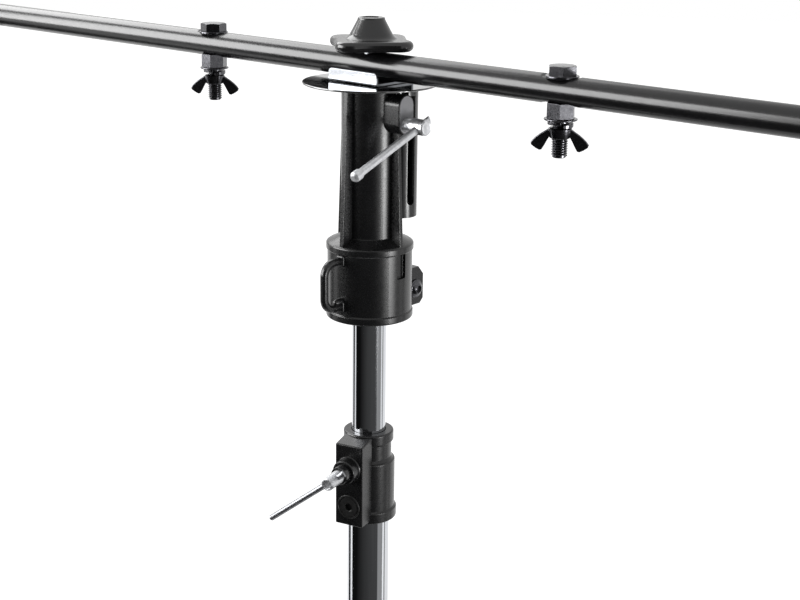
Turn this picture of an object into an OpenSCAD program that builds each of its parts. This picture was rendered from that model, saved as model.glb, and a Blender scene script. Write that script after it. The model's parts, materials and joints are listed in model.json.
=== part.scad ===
// Lighting stand with a T-bar head, a telescopic mast and a folding tripod.
// Millimetres, +Z up, origin on the floor on the mast's axis, crossbar along X.

/* [Crossbar] */
// Height of the crossbar's axis above the floor
bar_h = 1400; // [1350:10:1600]
// Outer diameter of the crossbar tube
bar_d = 21; // [20:0.5:26]
// Wall of the crossbar tube
bar_wall = 2.2; // [1.5:0.1:3]
// Length of the crossbar over its end caps
bar_l = 1200; // [1180:10:1400]
// Depth to which the tube is pressed flat under each nut and bolt head
bar_press = 1.9; // [1:0.1:2]
// Distance of the inner fixture bolts from the mast
bolt_inner = 180; // [120:5:300]
// Distance of the outer fixture bolts from the bar's ends
bolt_inset = 60; // [40:5:200]

/* [Fixture bolts] */
// Thread diameter of the fixture bolts and of the knob's stud
bolt_d = 12; // [10:1:13]
// Width across the flats of the bolt heads and nuts
hex_flats = 19; // [17:1:22]
// Height of the bolt head
hex_head_h = 7; // [5:0.5:9]
// Height of the lock nut
hex_nut_h = 10.8; // [8:0.2:12]
// Diameter of the flat washers
washer_d = 24; // [22:1:30]
// Thickness of the washer under the bolt head
head_washer_t = 1.8; // [1:0.2:3]
// Thickness of the flat washer over the wing nut
wing_washer_t = 1.2; // [1:0.1:2]
// Height of the open spring washer
spring_h = 5.2; // [4:0.2:7]
// Thickness of the spring washer's wire
spring_t = 2.6; // [1.5:0.1:3]
// Height of the wing nut's hub
wing_hub_h = 7.5; // [5:0.5:12]
// Distance between the tips of the wings
wing_span = 42; // [36:1:50]
// Thickness of a wing
wing_t = 3.6; // [2:0.2:6]
// Length of free thread below the wing nut
thread_free = 14; // [8:1:30]
// How much thinner than under the nuts the free thread is drawn, between its crest and its flank
thread_end_less = 0.3; // [0.1:0.05:0.6]
// Height of the bare thread root between the wing nut and the free thread
thread_root_h = 0.6; // [0.3:0.1:2]
// Depth of that root
thread_root = 0.92; // [0.5:0.02:1.2]

/* [Knob and saddle] */
// Width of the knob's square plate
knob_w = 60; // [50:1:70]
// Thickness of the knob's plate
knob_plate_t = 8; // [6:0.5:12]
// Diameter of the knob's hub at its foot
knob_hub_d = 31; // [26:1:40]
// Diameter of the knob's hub at its top
knob_top_d = 20.5; // [18:0.5:24]
// Height of the knob's hub above the plate
knob_hub_h = 16; // [12:1:24]
// Turn of the knob's plate about the mast
knob_turn = 50; // [0:5:90]
// Thickness of the washer under the knob
knob_washer_t = 1.6; // [1:0.2:3]
// Length of the saddle channel along the bar
saddle_l = 50; // [40:1:70]
// Width of the saddle channel
saddle_w = 43; // [36:1:50]
// Height of the saddle channel
saddle_h = 9.8; // [8:0.2:14]
// Sheet thickness of the saddle channel
saddle_t = 2; // [1.5:0.1:3]
// Diameter of the round top plate
disc_d = 107; // [90:1:120]
// Thickness of the round top plate
disc_t = 1.5; // [1:0.1:3]

/* [Head casting] */
// Diameter of the sleeve between its fins
sleeve_d = 46; // [42:0.5:52]
// Height of the finned sleeve above the collar's ledge
sleeve_h = 120.6; // [110:1:150]
// Thickness of the roof over the socket
roof_t = 7; // [5:0.5:12]
// Thickness of a fin
fin_t = 3.6; // [3:0.2:6]
// Distance of a fin's edge from the axis at the top
fin_r_top = 28.5; // [27:0.5:32]
// Distance of a fin's edge from the axis at the collar
fin_r_foot = 33.8; // [31:0.2:34]
// Diameter of the collar
collar_d = 68; // [66:1:76]
// Height of the collar
collar_h = 62; // [56:1:80]
// Height of the collar's rounded lips
lip_h = 6; // [4:0.5:8]
// How far a lip stands out of the collar
lip_out = 1; // [0.5:0.1:2]
// Height of the sloping ledge between sleeve and collar
ledge_h = 4.8; // [3:0.2:8]
// Diameter of the head's socket
socket_d = 35; // [34:0.5:38]
// Distance of the clamp boss's face from the axis
boss_reach = 37; // [34:0.5:40]
// Width of the clamp boss
boss_w = 17.2; // [16:0.2:20]
// Height of the clamp boss
boss_h = 31; // [28:1:40]
// Depth of the clamp screw's axis below the crossbar's axis
head_screw_drop = 42.5; // [41:0.5:44]
// Length of the slotted guide
guide_l = 104; // [80:1:116]
// Outer radius of the slotted guide
guide_r = 14; // [12:0.5:15]
// Wall of the slotted guide
guide_wall = 2; // [1.5:0.1:3]
// Width of the guide's slot
guide_slot_w = 7; // [5:0.5:9]
// Reach of the safety eyelet from the axis
eyelet_reach = 55.5; // [50:0.5:64]
// Height of the safety eyelet
eyelet_h = 43.5; // [36:0.5:46]
// Thickness of the safety eyelet's bar
eyelet_t = 6; // [4:0.5:8]
// Reach of the collar's ears from the axis
ear_reach = 53; // [51:0.5:60]
// Height of the collar's ears
ear_h = 32; // [26:1:40]
// Width of the split in the collar
split_w = 3; // [2:0.5:5]
// Thread diameter of the collar bolt
ear_bolt_d = 8; // [6:1:8]

/* [Mast] */
// Diameter of the upper mast tube
upper_d = 28; // [25:0.5:29]
// Diameter of the lower mast tube
lower_d = 35; // [34:0.5:36]
// Wall of both mast tubes
mast_wall = 1.5; // [1.2:0.1:2]
// Length of the upper mast tube
upper_l = 950; // [800:10:1000]
// Length of upper tube that shows between the head and the clamp
tube_gap = 99; // [80:1:200]
// Height of the lower tube's foot above the floor
mast_foot_h = 24; // [20:1:40]
// Height of the mast clamp
clamp_h = 77; // [74:1:90]
// Diameter of the mast clamp's barrel
clamp_d = 43.8; // [43:0.2:48]
// Diameter of the mast clamp's neck
clamp_neck_d = 38; // [37:0.5:40]
// Reach of the clamp block's face from the axis
clamp_reach = 34; // [30:0.5:38]
// Width of the clamp block
clamp_w = 25; // [24:0.5:30]
// Reach of the clamp's screw boss from the axis
clamp_boss_reach = 43.5; // [40:0.5:46]
// Diameter of the clamp's screw boss
clamp_boss_d = 20; // [18:0.5:24]
// Length of the black sleeve on the clamp screw, next to the boss
clamp_sleeve_l = 7.5; // [5:0.5:9]
// Turn of the mast clamp about the mast
clamp_turn = -76; // [-90:2:90]

/* [Clamp screws] */
// Thread diameter of the clamp screws
screw_d = 10; // [8:0.5:10.5]
// Diameter of the screws' cross-drilled heads
screw_head_d = 12.5; // [11:0.5:15]
// Length of the head screw's cross-drilled head
screw_head_l = 14; // [12:0.5:20]
// Neck of the screw between casting and head
screw_neck = 6.5; // [4:0.5:10]
// Diameter of the sliding bars
pin_d = 6; // [4:0.2:6.5]
// Diameter of the mast clamp's sliding bar
clamp_pin_d = 5; // [4:0.2:6]
// Long arm of the head screw's sliding bar
head_pin_l = 80; // [60:1:90]
// Long arm of the mast clamp's sliding bar
clamp_pin_l = 76; // [60:1:90]
// Long arm of the leg collar's sliding bar
leg_pin_l = 42; // [36:1:46]
// Short arm of the sliding bars
pin_stub = 11.8; // [10:0.2:16]
// Droop of the head screw's bar
head_pin_droop = 21; // [0:1:80]
// Droop of the mast clamp's bar
clamp_pin_droop = 38; // [0:1:80]

/* [Tripod] */
// Length of a leg from its hinge to its foot
leg_l = 600; // [560:5:630]
// Diameter of the leg tubes
leg_d = 22; // [20:0.5:24]
// Angle of the legs from the mast when spread
leg_spread = 60; // [56:1:62]
// Distance of the leg hinges from the axis
hinge_r = 42; // [40:0.5:46]
// Distance of the leg tube from the line through its hinges
leg_offset = 23; // [22:0.5:28]
// Distance from the hinge to the brace's joint, also the brace's length
brace_l = 232; // [200:1:240]
// Thickness of a brace
brace_t = 6; // [4:0.5:8]
// Width of a brace
brace_w = 14; // [12:0.5:14]
// Diameter of the hinge pins
hinge_pin_d = 8; // [6:0.5:9]
// Diameter of the rivets in the braces
rivet_d = 6; // [4:0.5:7]
// Height of the leg collar
leg_collar_h = 62; // [56:1:80]
// Radius of the rubber feet
foot_r = 14; // [13:0.5:18]

/* [Hidden] */
$fn = 48;

// Clearances
fit = 0.06;         // between a shaft and the hole it runs in
play = 0.3;         // between faces that slide or turn on each other
over = 1;           // how far a cutter runs past a face

// Crossbar levels, measured from the bar's axis
bar_flat = bar_d / 2 - bar_press;
bar_inner_d = bar_d - 2 * bar_wall;
cap_t = 3;
cap_plug_l = 14;
bolt_outer = bar_l / 2 - bolt_inset;
bolt_x = [-bolt_outer, -bolt_inner, bolt_inner, bolt_outer];
press_l = washer_d + 1;
bolt_r = bolt_d / 2 - 0.08;
thread_end_r = bolt_r - thread_end_less;
thread_root_r = bolt_r - thread_root;
nut_bore_r = bolt_r + fit;
bolt_hole_r = bolt_d / 2 + 0.3;
nut_foot = -bar_flat - hex_nut_h;
washer_top = nut_foot - play;
spring_top = washer_top - wing_washer_t;
wing_top = spring_top - spring_h - 0.1;
wing_foot = wing_top - wing_hub_h;
bolt_end = wing_foot - thread_free;
spring_r = washer_d / 2 - 2.7;
spring_gap = -40;
wing_hub_r = 8.6;
wing_turn = [75, 33, 25, 110];

// Knob and stud levels, measured from the bar's axis
knob_washer_foot = bar_d / 2 + 0.1;
knob_foot = knob_washer_foot + knob_washer_t + 0.1;
knob_washer_r = washer_d / 2;
stud_r = bolt_d / 2 - 0.08;
stud_hole_r = stud_r + fit;
stud_top = knob_foot + knob_plate_t + knob_hub_h - 6;
saddle_foot = -bar_d / 2 - 0.1 - saddle_t;
disc_top = saddle_foot - play;
sleeve_top = disc_top - disc_t;
socket_top = sleeve_top - roof_t;

// Head casting levels, measured from the bar's axis
ledge_top = sleeve_top - sleeve_h;
collar_top = ledge_top - ledge_h;
collar_foot = collar_top - collar_h;
sleeve_r = sleeve_d / 2;
collar_r = collar_d / 2;
collar_wall = 4.5;
socket_wall = 4.5;
collar_mid = collar_foot + collar_h / 2;
recess_w = 9.5;
recess_h = 20;
recess_depth = 2;
boss_top = sleeve_top - 5;
eyelet_mid = collar_mid + 1.5;
guide_angle = 38;
guide_slot_angle = -8;
guide_tail = 10;
guide_head = 8;
ear_half = 12;
ear_foot = collar_foot + 1;
ear_bolt_y = ear_reach - 10.5;
ear_bolt_z = ear_foot + ear_h * 0.44;

// Mast levels, measured from the floor
upper_r = upper_d / 2;
lower_r = lower_d / 2;
lower_inner_r = lower_r - mast_wall;
upper_top = bar_h + socket_top - 5;
clamp_top = bar_h + collar_foot - tube_gap;
clamp_foot = clamp_top - clamp_h;
tube_seat = clamp_foot + clamp_h * 0.56;
clamp_screw_z = clamp_top - 24.5;
clamp_plug_z = clamp_foot + 19;
block_foot = clamp_foot + 2.5;
block_top = clamp_top - 4;
bush_r = lower_inner_r + 0.4;
clamp_lip_h = 9;
clamp_foot_h = 9;
clamp_barrel_top = clamp_top - 25;
plug_r = 10.5;
plug_depth = 6;
clamp_boss_r = clamp_boss_d / 2;
clamp_sleeve_r = screw_d / 2 + 2.4;
clamp_neck_from = clamp_boss_reach + clamp_sleeve_l;
slider_h = 30;

// Clamp screws, along their own axis
screw_r = screw_d / 2;
pad_r = screw_r;
pad_l = 8;
pin_r = pin_d / 2;
clamp_pin_r = clamp_pin_d / 2;
pin_fit = 0.05;
pin_cap_l = 8;
pin_cap_out = 1.2;
crimp_l = 2;
crimp_out = 0.5;
clamp_head_l = 19;
leg_boss_reach = 36;
pad_end = upper_r + play + pad_l;
leg_pad_end = lower_r + play + pad_l;
head_pin_x = boss_reach + screw_neck + screw_head_l / 2;
clamp_pin_x = clamp_neck_from + clamp_head_l * 0.4;
leg_pin_x = leg_boss_reach + screw_neck + screw_head_l / 2;

// Tripod levels, measured from the floor
leg_r = leg_d / 2;
foot_centre_h = foot_r - 1.5;
pivot_z = foot_centre_h + leg_l * cos(leg_spread) - leg_offset * sin(leg_spread);
hub_z = pivot_z - 2 * brace_l * cos(leg_spread);
knuckle_r = 9;
hub_knuckle_r = 8;
eye_r = brace_w / 2;
ear_t = 10;
cheek_t = 5;
clip_t = 3;
leg_end_r = leg_r + 2;
leg_end_l = 38;
clip_r = leg_r + 2.5;
clip_l = 24;
barrel_r = lower_r + 5.5;
hub_h = 26;
leg_screw_z = pivot_z + 24;
rivet_head_r = rivet_d / 2 + 2.2;
rivet_head_h = 2;

// Colours
black_paint = [0.09, 0.09, 0.1];
black_cast = [0.13, 0.13, 0.14];
black_plastic = [0.06, 0.06, 0.065];
chrome = [0.82, 0.83, 0.85];
zinc = [0.78, 0.79, 0.8];
black_zinc = [0.16, 0.16, 0.17];
nylon = [0.85, 0.84, 0.8];
brass = [0.75, 0.6, 0.3];
rubber = [0.05, 0.05, 0.05];

// Corner k of an outline, rounded with radius r as a short arc of points
function rounded(a, b, c, r, steps = 4) =
    let (u = (a - b) / norm(a - b), v = (c - b) / norm(c - b),
         half = acos(u * v) / 2, back = r / tan(half),
         mid = b + (u + v) / norm(u + v) * (r / sin(half)),
         from = b + u * back - mid, to = b + v * back - mid)
    [for (i = [0 : steps]) let (w = from * (steps - i) / steps + to * i / steps) mid + w / norm(w) * r];

module at_bar() translate([0, 0, bar_h]) children();

module tube(r_out, r_in, h) difference() {
    cylinder(r = r_out, h = h);
    translate([0, 0, -over]) cylinder(r = r_in, h = h + 2 * over);
}

module hexagon(flats, h) cylinder(r = flats / sqrt(3), h = h, $fn = 6);

module hex_nut(flats, h, bore_r) difference() {
    intersection() {
        hexagon(flats, h);
        cylinder(r1 = flats / 2 + 0.9, r2 = flats / 2 + 0.9 + h, h = h);
        translate([0, 0, -h]) cylinder(r1 = flats / 2 + 0.9 + 2 * h, r2 = flats / 2 + 0.9, h = 2 * h);
    }
    translate([0, 0, -over]) cylinder(r = bore_r, h = h + 2 * over);
}

module hex_head(flats, h) intersection() {
    hexagon(flats, h);
    translate([0, 0, -h]) cylinder(r1 = flats / 2 + 0.9 + 2 * h, r2 = flats / 2 + 0.5, h = 2 * h);
}

// Crossbar group

// Boxes above and below the tube at each bolt, at the given distance from its axis
module press_boxes(from, long) for (x = bolt_x, side = [-1, 1])
    translate([x - long / 2, -bar_d / 2, side * (from + bar_d / 2) - bar_d / 2])
        cube([long, bar_d, bar_d]);

module crossbar_tube() color(black_paint) at_bar() difference() {
    rotate([0, 90, 0]) translate([0, 0, -bar_l / 2 + cap_t])
        cylinder(r = bar_d / 2, h = bar_l - 2 * cap_t);
    difference() {
        rotate([0, 90, 0]) translate([0, 0, -bar_l / 2]) cylinder(r = bar_inner_d / 2, h = bar_l);
        press_boxes(bar_flat - bar_wall, press_l + 2 * bar_wall);
    }
    press_boxes(bar_flat, press_l);
    for (x = bolt_x) translate([x, 0, -bar_d]) cylinder(r = bolt_hole_r, h = 2 * bar_d);
    translate([0, 0, -bar_d]) cylinder(r = stud_hole_r, h = 2 * bar_d);
}

module crossbar_caps() color(black_plastic) at_bar() for (side = [-1, 1]) rotate([0, side * 90, 0]) {
    translate([0, 0, bar_l / 2 - cap_t - cap_plug_l]) cylinder(r = bar_inner_d / 2, h = cap_plug_l);
    translate([0, 0, bar_l / 2 - cap_t]) cylinder(r1 = bar_d / 2, r2 = bar_d / 2 - 1, h = cap_t);
}

module fixture_bolts() color(black_zinc) at_bar() for (x = bolt_x) translate([x, 0, 0]) {
    translate([0, 0, bar_flat + head_washer_t]) hex_head(hex_flats, hex_head_h);
    translate([0, 0, bolt_end]) cylinder(r = thread_end_r, h = thread_free - thread_root_h);
    translate([0, 0, wing_foot - thread_root_h]) cylinder(r = thread_root_r, h = thread_root_h);
    translate([0, 0, wing_foot]) cylinder(r = bolt_r, h = bar_flat + head_washer_t - wing_foot);
}

module bolt_washers() color(black_zinc) at_bar() for (x = bolt_x)
    translate([x, 0, bar_flat]) tube(washer_d / 2, bolt_hole_r, head_washer_t);

module lock_nuts() color(black_zinc) at_bar() for (x = bolt_x)
    translate([x, 0, nut_foot]) hex_nut(hex_flats, hex_nut_h, nut_bore_r);

// Split ring of square wire that climbs by rise on its way round
module spring_ring(r_in, r_out, wire, rise, from, to, steps = 30) {
    section = [[r_in, 0], [r_out, 0], [r_out, wire], [r_in, wire]];
    points = [for (i = [0 : steps], p = section) let (a = from + (to - from) * i / steps)
        [p[0] * cos(a), p[0] * sin(a), p[1] + rise * i / steps]];
    sides = [for (i = [0 : steps - 1], k = [0 : 3]) let (a = 4 * i + k, b = 4 * i + (k + 1) % 4) each
        [[a, b, b + 4], [a, b + 4, a + 4]]];
    last = 4 * steps;
    polyhedron(points = points, faces = concat(sides,
        [[3, 2, 1], [3, 1, 0], [last, last + 1, last + 2], [last, last + 2, last + 3]]));
}

// Flat washer over an open spring washer
module fixture_washers(i) color(black_zinc) at_bar() translate([bolt_x[i - 1], 0, 0]) {
    translate([0, 0, spring_top]) tube(washer_d / 2, nut_bore_r, wing_washer_t);
    translate([0, 0, spring_top - spring_h])
        spring_ring(nut_bore_r + 0.2, spring_r, spring_t, spring_h - spring_t - 0.1, spring_gap,
            spring_gap + 348);
}

module wing_nut(i) color(black_zinc) at_bar() translate([bolt_x[i - 1], 0, wing_top])
    rotate([0, 0, wing_turn[i - 1]]) difference() {
    union() {
        translate([0, 0, -wing_hub_h]) cylinder(r1 = wing_hub_r - 1, r2 = wing_hub_r, h = wing_hub_h);
        for (side = [0, 180]) rotate([90, 0, side]) translate([0, 0, -wing_t / 2]) linear_extrude(wing_t)
            polygon([[nut_bore_r + 0.5, -0.6], [8, -0.6], [13, -3.5], [wing_span / 2 - 2.5, -8.5],
                     [wing_span / 2, -11.5], [wing_span / 2 - 0.5, -12.8], [wing_span / 2 - 7, -17],
                     [wing_span / 2 - 8.2, -16.8], [wing_hub_r - 1.2, -6.5], [nut_bore_r + 0.5, -6.5]]);
    }
    translate([0, 0, -wing_hub_h - over]) cylinder(r = nut_bore_r, h = wing_hub_h + 2 * over);
}

// Bent channel under the tube, flanges up, upper corners rounded
module saddle_channel() color(zinc) at_bar() difference() {
    translate([0, 0, saddle_foot]) union() {
        translate([-saddle_l / 2, -saddle_w / 2 + saddle_t, 0])
            cube([saddle_l, saddle_w - 2 * saddle_t, saddle_t]);
        for (side = [-1, 1]) {
            translate([-saddle_l / 2, side * (saddle_w / 2 - saddle_t), saddle_t]) rotate([0, 90, 0])
                intersection() {
                cylinder(r = saddle_t, h = saddle_l);
                translate([0, side > 0 ? 0 : -saddle_t, 0]) cube([saddle_t, saddle_t, saddle_l]);
            }
            translate([0, side * (saddle_w / 2 - saddle_t / 2), 0]) rotate([90, 0, 0])
                translate([0, 0, -saddle_t / 2]) linear_extrude(saddle_t)
                    polygon(concat([[-saddle_l / 2, saddle_t], [saddle_l / 2, saddle_t]],
                        rounded([saddle_l / 2, saddle_t], [saddle_l / 2, saddle_h],
                            [-saddle_l / 2, saddle_h], 3),
                        rounded([saddle_l / 2, saddle_h], [-saddle_l / 2, saddle_h],
                            [-saddle_l / 2, saddle_t], 3)));
        }
    }
    translate([0, 0, saddle_foot - over]) cylinder(r = stud_hole_r, h = saddle_t + 2 * over);
}

// Knob

module knob_outline(w, r) polygon([for (q = [0 : 3], a = [0 : 15 : 90])
    let (c = w / 2 - r) [c * (q == 0 || q == 3 ? 1 : -1) + r * cos(90 * q + a),
        c * (q < 2 ? 1 : -1) + r * sin(90 * q + a)]]);

module top_knob() color(black_plastic) at_bar() translate([0, 0, knob_foot]) rotate([0, 0, knob_turn])
    difference() {
    union() {
        for (k = [0 : 4]) let (edge = 2 * (1 - sin(15 + 37.5 * k)))
            translate([0, 0, knob_plate_t * k / 5]) linear_extrude(knob_plate_t / 5)
                knob_outline(knob_w - edge, 12);
        translate([0, 0, knob_plate_t]) rotate_extrude()
            polygon([[0, -1], [knob_hub_d / 2 + 5, -1], [knob_hub_d / 2 + 5, 0],
            [knob_hub_d / 2 + 2, 0.4], [knob_hub_d / 2 + 0.6, 1.4], [knob_hub_d / 2, 3],
            [knob_top_d / 2, knob_hub_h - 1], [knob_top_d / 2 - 1, knob_hub_h], [0, knob_hub_h]]);
    }
    translate([0, 0, -over]) cylinder(r = stud_hole_r, h = stud_top - knob_foot + 2 + over);
    translate([0, 0, knob_plate_t + knob_hub_h - 1.2]) cylinder(r = knob_top_d / 2 - 3.4, h = 3);
}

module knob_washer() color(black_zinc) at_bar() translate([0, 0, knob_washer_foot])
    tube(knob_washer_r, stud_hole_r, knob_washer_t);

module clamp_stud() color(zinc) at_bar() translate([0, 0, socket_top])
    cylinder(r = stud_r, h = stud_top - socket_top);

// Head

module top_disc() color(black_plastic) at_bar() translate([0, 0, sleeve_top])
    tube(disc_d / 2, stud_r, disc_t);

module head_outer() rotate_extrude($fn = 96) polygon(concat(
    [[0, collar_foot]],
    rounded([0, collar_foot], [collar_r + lip_out, collar_foot], [collar_r + lip_out, collar_mid], 1.6),
    rounded([collar_r + lip_out, collar_foot], [collar_r + lip_out, collar_foot + lip_h],
        [collar_r, collar_foot + lip_h], 0.7),
    [[collar_r, collar_foot + lip_h + 0.6], [collar_r, collar_top - lip_h - 0.6]],
    rounded([collar_r, collar_top - lip_h], [collar_r + lip_out, collar_top - lip_h],
        [collar_r + lip_out, collar_top], 0.7),
    rounded([collar_r + lip_out, collar_top - lip_h], [collar_r + lip_out, collar_top],
        [collar_r - 2, collar_top + 0.4], 2),
    [[sleeve_r, ledge_top], [sleeve_r, sleeve_top], [0, sleeve_top]]));

module fins() for (turn = [0 : 90 : 270]) rotate([90, 0, turn]) translate([0, 0, -fin_t / 2])
    linear_extrude(fin_t)
    polygon([[socket_d / 2 + 1, collar_top - 2], [fin_r_foot, collar_top - 2], [fin_r_foot, collar_top],
             [fin_r_top, sleeve_top], [socket_d / 2 + 1, sleeve_top]]);

// Pill-shaped boss along X, from the sleeve to its machined face
module clamp_boss() {
    low = boss_top - boss_h + boss_w / 2;
    high = boss_top - boss_w / 2;
    for (z = [low, high]) translate([socket_d / 2 + 1, 0, z]) rotate([0, 90, 0])
        cylinder(r = boss_w / 2, h = boss_reach - socket_d / 2 - 1);
    translate([socket_d / 2 + 1, -boss_w / 2, low])
        cube([boss_reach - socket_d / 2 - 1, boss_w, high - low]);
}

module collar_ears() rotate([90, 0, 90]) translate([0, 0, -ear_half]) linear_extrude(2 * ear_half)
    polygon([[collar_r - 3, ear_foot], [ear_reach - 4, ear_foot], [ear_reach, ear_foot + 4],
             [ear_reach, ear_foot + ear_h - 7], [ear_reach - 6, ear_foot + ear_h], [collar_r - 3,
                 ear_foot + ear_h]]);

module head_casting() color(black_cast) at_bar() difference() {
    union() {
        difference() {
            head_outer();
            translate([collar_r - recess_depth, -recess_w / 2, collar_top - lip_h - recess_h])
                cube([5, recess_w, recess_h]);
            translate([0, 0, collar_foot - over]) difference() {
                cylinder(r = collar_r - collar_wall, h = collar_h - 9 + over);
                cylinder(r = socket_d / 2 + socket_wall, h = collar_h);
                for (turn = [45 : 90 : 315]) rotate([0, 0, turn]) translate([0, -2, 0])
                    cube([collar_r, 4, collar_h]);
            }
        }
        fins();
        clamp_boss();
        collar_ears();
    }
    translate([0, 0, collar_foot - over]) cylinder(r = socket_d / 2, h = socket_top - collar_foot + over);
    translate([0, 0, socket_top - over]) cylinder(r = stud_r, h = roof_t + 2 * over);
    translate([0, 0, -head_screw_drop]) rotate([0, 90, 0])
        cylinder(r = screw_r + fit, h = boss_reach + over);
    translate([-split_w / 2, 0, collar_foot - over]) cube([split_w, ear_reach + over, ear_h + 4 + over]);
    translate([-ear_half - over, ear_bolt_y, ear_bolt_z]) rotate([0, 90, 0])
        cylinder(r = ear_bolt_d / 2 + 0.2, h = 2 * ear_half + 2 * over);
}

module head_liner() color(nylon) at_bar() difference() {
    translate([0, 0, collar_foot]) tube(socket_d / 2, upper_r + fit, upper_top - bar_h - collar_foot - 4);
    translate([0, 0, -head_screw_drop]) rotate([0, 90, 0]) cylinder(r = screw_r + fit, h = socket_d);
    translate([-split_w / 2, 0, collar_foot - over]) cube([split_w, socket_d, ear_h + 4 + over]);
}

module thrust_washer() color(nylon) translate([0, 0, upper_top + 2 + play])
    tube(upper_r - 0.5, stud_r + 2, 3 - 2 * play);

// Half-round profile beside the sleeve, hung from the top plate
module slotted_guide() color(black_paint) at_bar() difference() {
    slot_foot = guide_tail + guide_slot_w / 2;
    translate([sleeve_r * cos(guide_angle), sleeve_r * sin(guide_angle), sleeve_top - guide_l])
        difference() {
        rotate([0, 0, guide_angle - 90]) rotate_extrude(angle = 180)
            translate([guide_r - guide_wall, 0]) square([guide_wall, guide_l]);
        rotate([0, 0, guide_slot_angle]) {
            translate([0, -guide_slot_w / 2, slot_foot])
                cube([guide_r + over, guide_slot_w, guide_l - slot_foot - guide_head]);
            translate([0, 0, slot_foot]) rotate([0, 90, 0])
                cylinder(r = guide_slot_w / 2, h = guide_r + over);
        }
    }
    translate([0, -boss_w / 2 - 0.4, boss_top - boss_h - 0.4])
        cube([boss_reach, boss_w + 0.8, boss_h + 0.8]);
}

module safety_eyelet() color(black_cast) at_bar() difference() {
    translate([0, 0, eyelet_mid]) rotate([90, 0, 90]) {
        inner_h = eyelet_h - 2 * eyelet_t;
        inner_reach = eyelet_reach - eyelet_t;
        translate([0, 0, -eyelet_t / 2]) linear_extrude(eyelet_t) difference() {
            polygon(concat([[-collar_r + 4, eyelet_h / 2]],
                rounded([0, eyelet_h / 2], [-eyelet_reach, eyelet_h / 2], [-eyelet_reach, 0], 9),
                rounded([-eyelet_reach, 0], [-eyelet_reach, -eyelet_h / 2], [0, -eyelet_h / 2], 9),
                [[-collar_r + 4, -eyelet_h / 2]]));
            polygon(concat([[-collar_r + 5, inner_h / 2]],
                rounded([0, inner_h / 2], [-inner_reach, inner_h / 2], [-inner_reach, 0], 4),
                rounded([-inner_reach, 0], [-inner_reach, -inner_h / 2], [0, -inner_h / 2], 4),
                [[-collar_r + 5, -inner_h / 2]]));
        }
        translate([-collar_r + 4, -inner_h / 2, 0]) rotate([0, -90, 0]) cylinder(r = 2.5, h = 12);
    }
    translate([0, 0, collar_foot]) cylinder(r = collar_r, h = collar_h, $fn = 96);
}

module collar_bolt() color(black_zinc) at_bar() translate([0, ear_bolt_y, ear_bolt_z])
    rotate([0, 90, 0]) {
    translate([0, 0, ear_half]) cylinder(r = ear_bolt_d * 0.95, h = 1.6);
    translate([0, 0, ear_half + 1.6]) cylinder(r1 = ear_bolt_d * 0.8, r2 = ear_bolt_d * 0.6,
        h = ear_bolt_d * 0.5);
    translate([0, 0, -ear_half - ear_bolt_d]) cylinder(r = ear_bolt_d / 2,
        h = 2 * ear_half + ear_bolt_d + 2);
    translate([0, 0, -ear_half - ear_bolt_d * 0.8])
        hex_nut(ear_bolt_d * 1.6, ear_bolt_d * 0.8, ear_bolt_d / 2 - 0.2);
}

// Clamp screws, drawn along +X with the screw's axis at z = 0

module pad(shaft_r) translate([shaft_r + play, 0, 0]) rotate([0, 90, 0]) cylinder(r = pad_r, h = pad_l);

// Threaded stem and cross-drilled head
module t_screw(stem_from, head_from, head_l, head_d, pin_x, droop, bar_r = pin_r) {
    difference() {
        union() {
            translate([stem_from, 0, 0]) rotate([0, 90, 0])
                cylinder(r = screw_r, h = head_from - stem_from);
            translate([head_from, 0, 0]) rotate([0, 90, 0])
                cylinder(r = head_d / 2, h = head_l - 0.8);
            translate([head_from + head_l - 0.8, 0, 0]) rotate([0, 90, 0])
                cylinder(r1 = head_d / 2, r2 = head_d / 2 - 0.8, h = 0.8);
        }
        translate([pin_x, 0, 0]) pin_hole(droop, bar_r + pin_fit);
    }
}

// Hole for the sliding bar, at the bar's droop
module pin_hole(droop, r) rotate([90 + droop, 0, 0]) translate([0, 0, -20]) cylinder(r = r, h = 40);

// Sliding bar: long arm with its end, short arm with a crimp
module sliding_bar(droop, long_l, cap, r = pin_r) rotate([90 + droop, 0, 0]) {
    translate([0, 0, -pin_stub]) cylinder(r = r, h = long_l + pin_stub - 1);
    translate([0, 0, long_l - 1]) cylinder(r1 = r, r2 = r - 0.8, h = 1);
    translate([0, 0, -pin_stub]) cylinder(r = r + crimp_out, h = crimp_l);
    if (cap) translate([0, 0, long_l - pin_cap_l]) cylinder(r = r + pin_cap_out, h = pin_cap_l - 1);
}

module at_head_screw() at_bar() translate([0, 0, -head_screw_drop]) children();
module at_clamp_screw() rotate([0, 0, clamp_turn]) translate([0, 0, clamp_screw_z]) children();
module at_leg_screw() rotate([0, 0, 60]) translate([0, 0, leg_screw_z]) children();

module head_screw() color(chrome) at_head_screw()
    t_screw(pad_end + 0.2, boss_reach + screw_neck, screw_head_l, screw_head_d, head_pin_x,
        head_pin_droop);
module head_screw_pad() color(brass) at_head_screw() pad(upper_r);
module head_tommy_bar() color(chrome) at_head_screw() translate([head_pin_x, 0, 0])
    sliding_bar(head_pin_droop, head_pin_l, true);

// Mast

module upper_mast_tube() color(chrome) translate([0, 0, upper_top - upper_l])
    tube(upper_r, upper_r - mast_wall, upper_l);

module upper_tube_plug() color(black_plastic) {
    translate([0, 0, upper_top - 14]) cylinder(r = upper_r - mast_wall, h = 14);
    translate([0, 0, upper_top]) cylinder(r = upper_r - 0.3, h = 2);
}

module tube_slider() color(nylon) translate([0, 0, upper_top - upper_l])
    tube(lower_inner_r - fit, upper_r, slider_h);

module lower_mast_tube() color(chrome) translate([0, 0, mast_foot_h])
    tube(lower_r, lower_inner_r, tube_seat - mast_foot_h);

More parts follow.
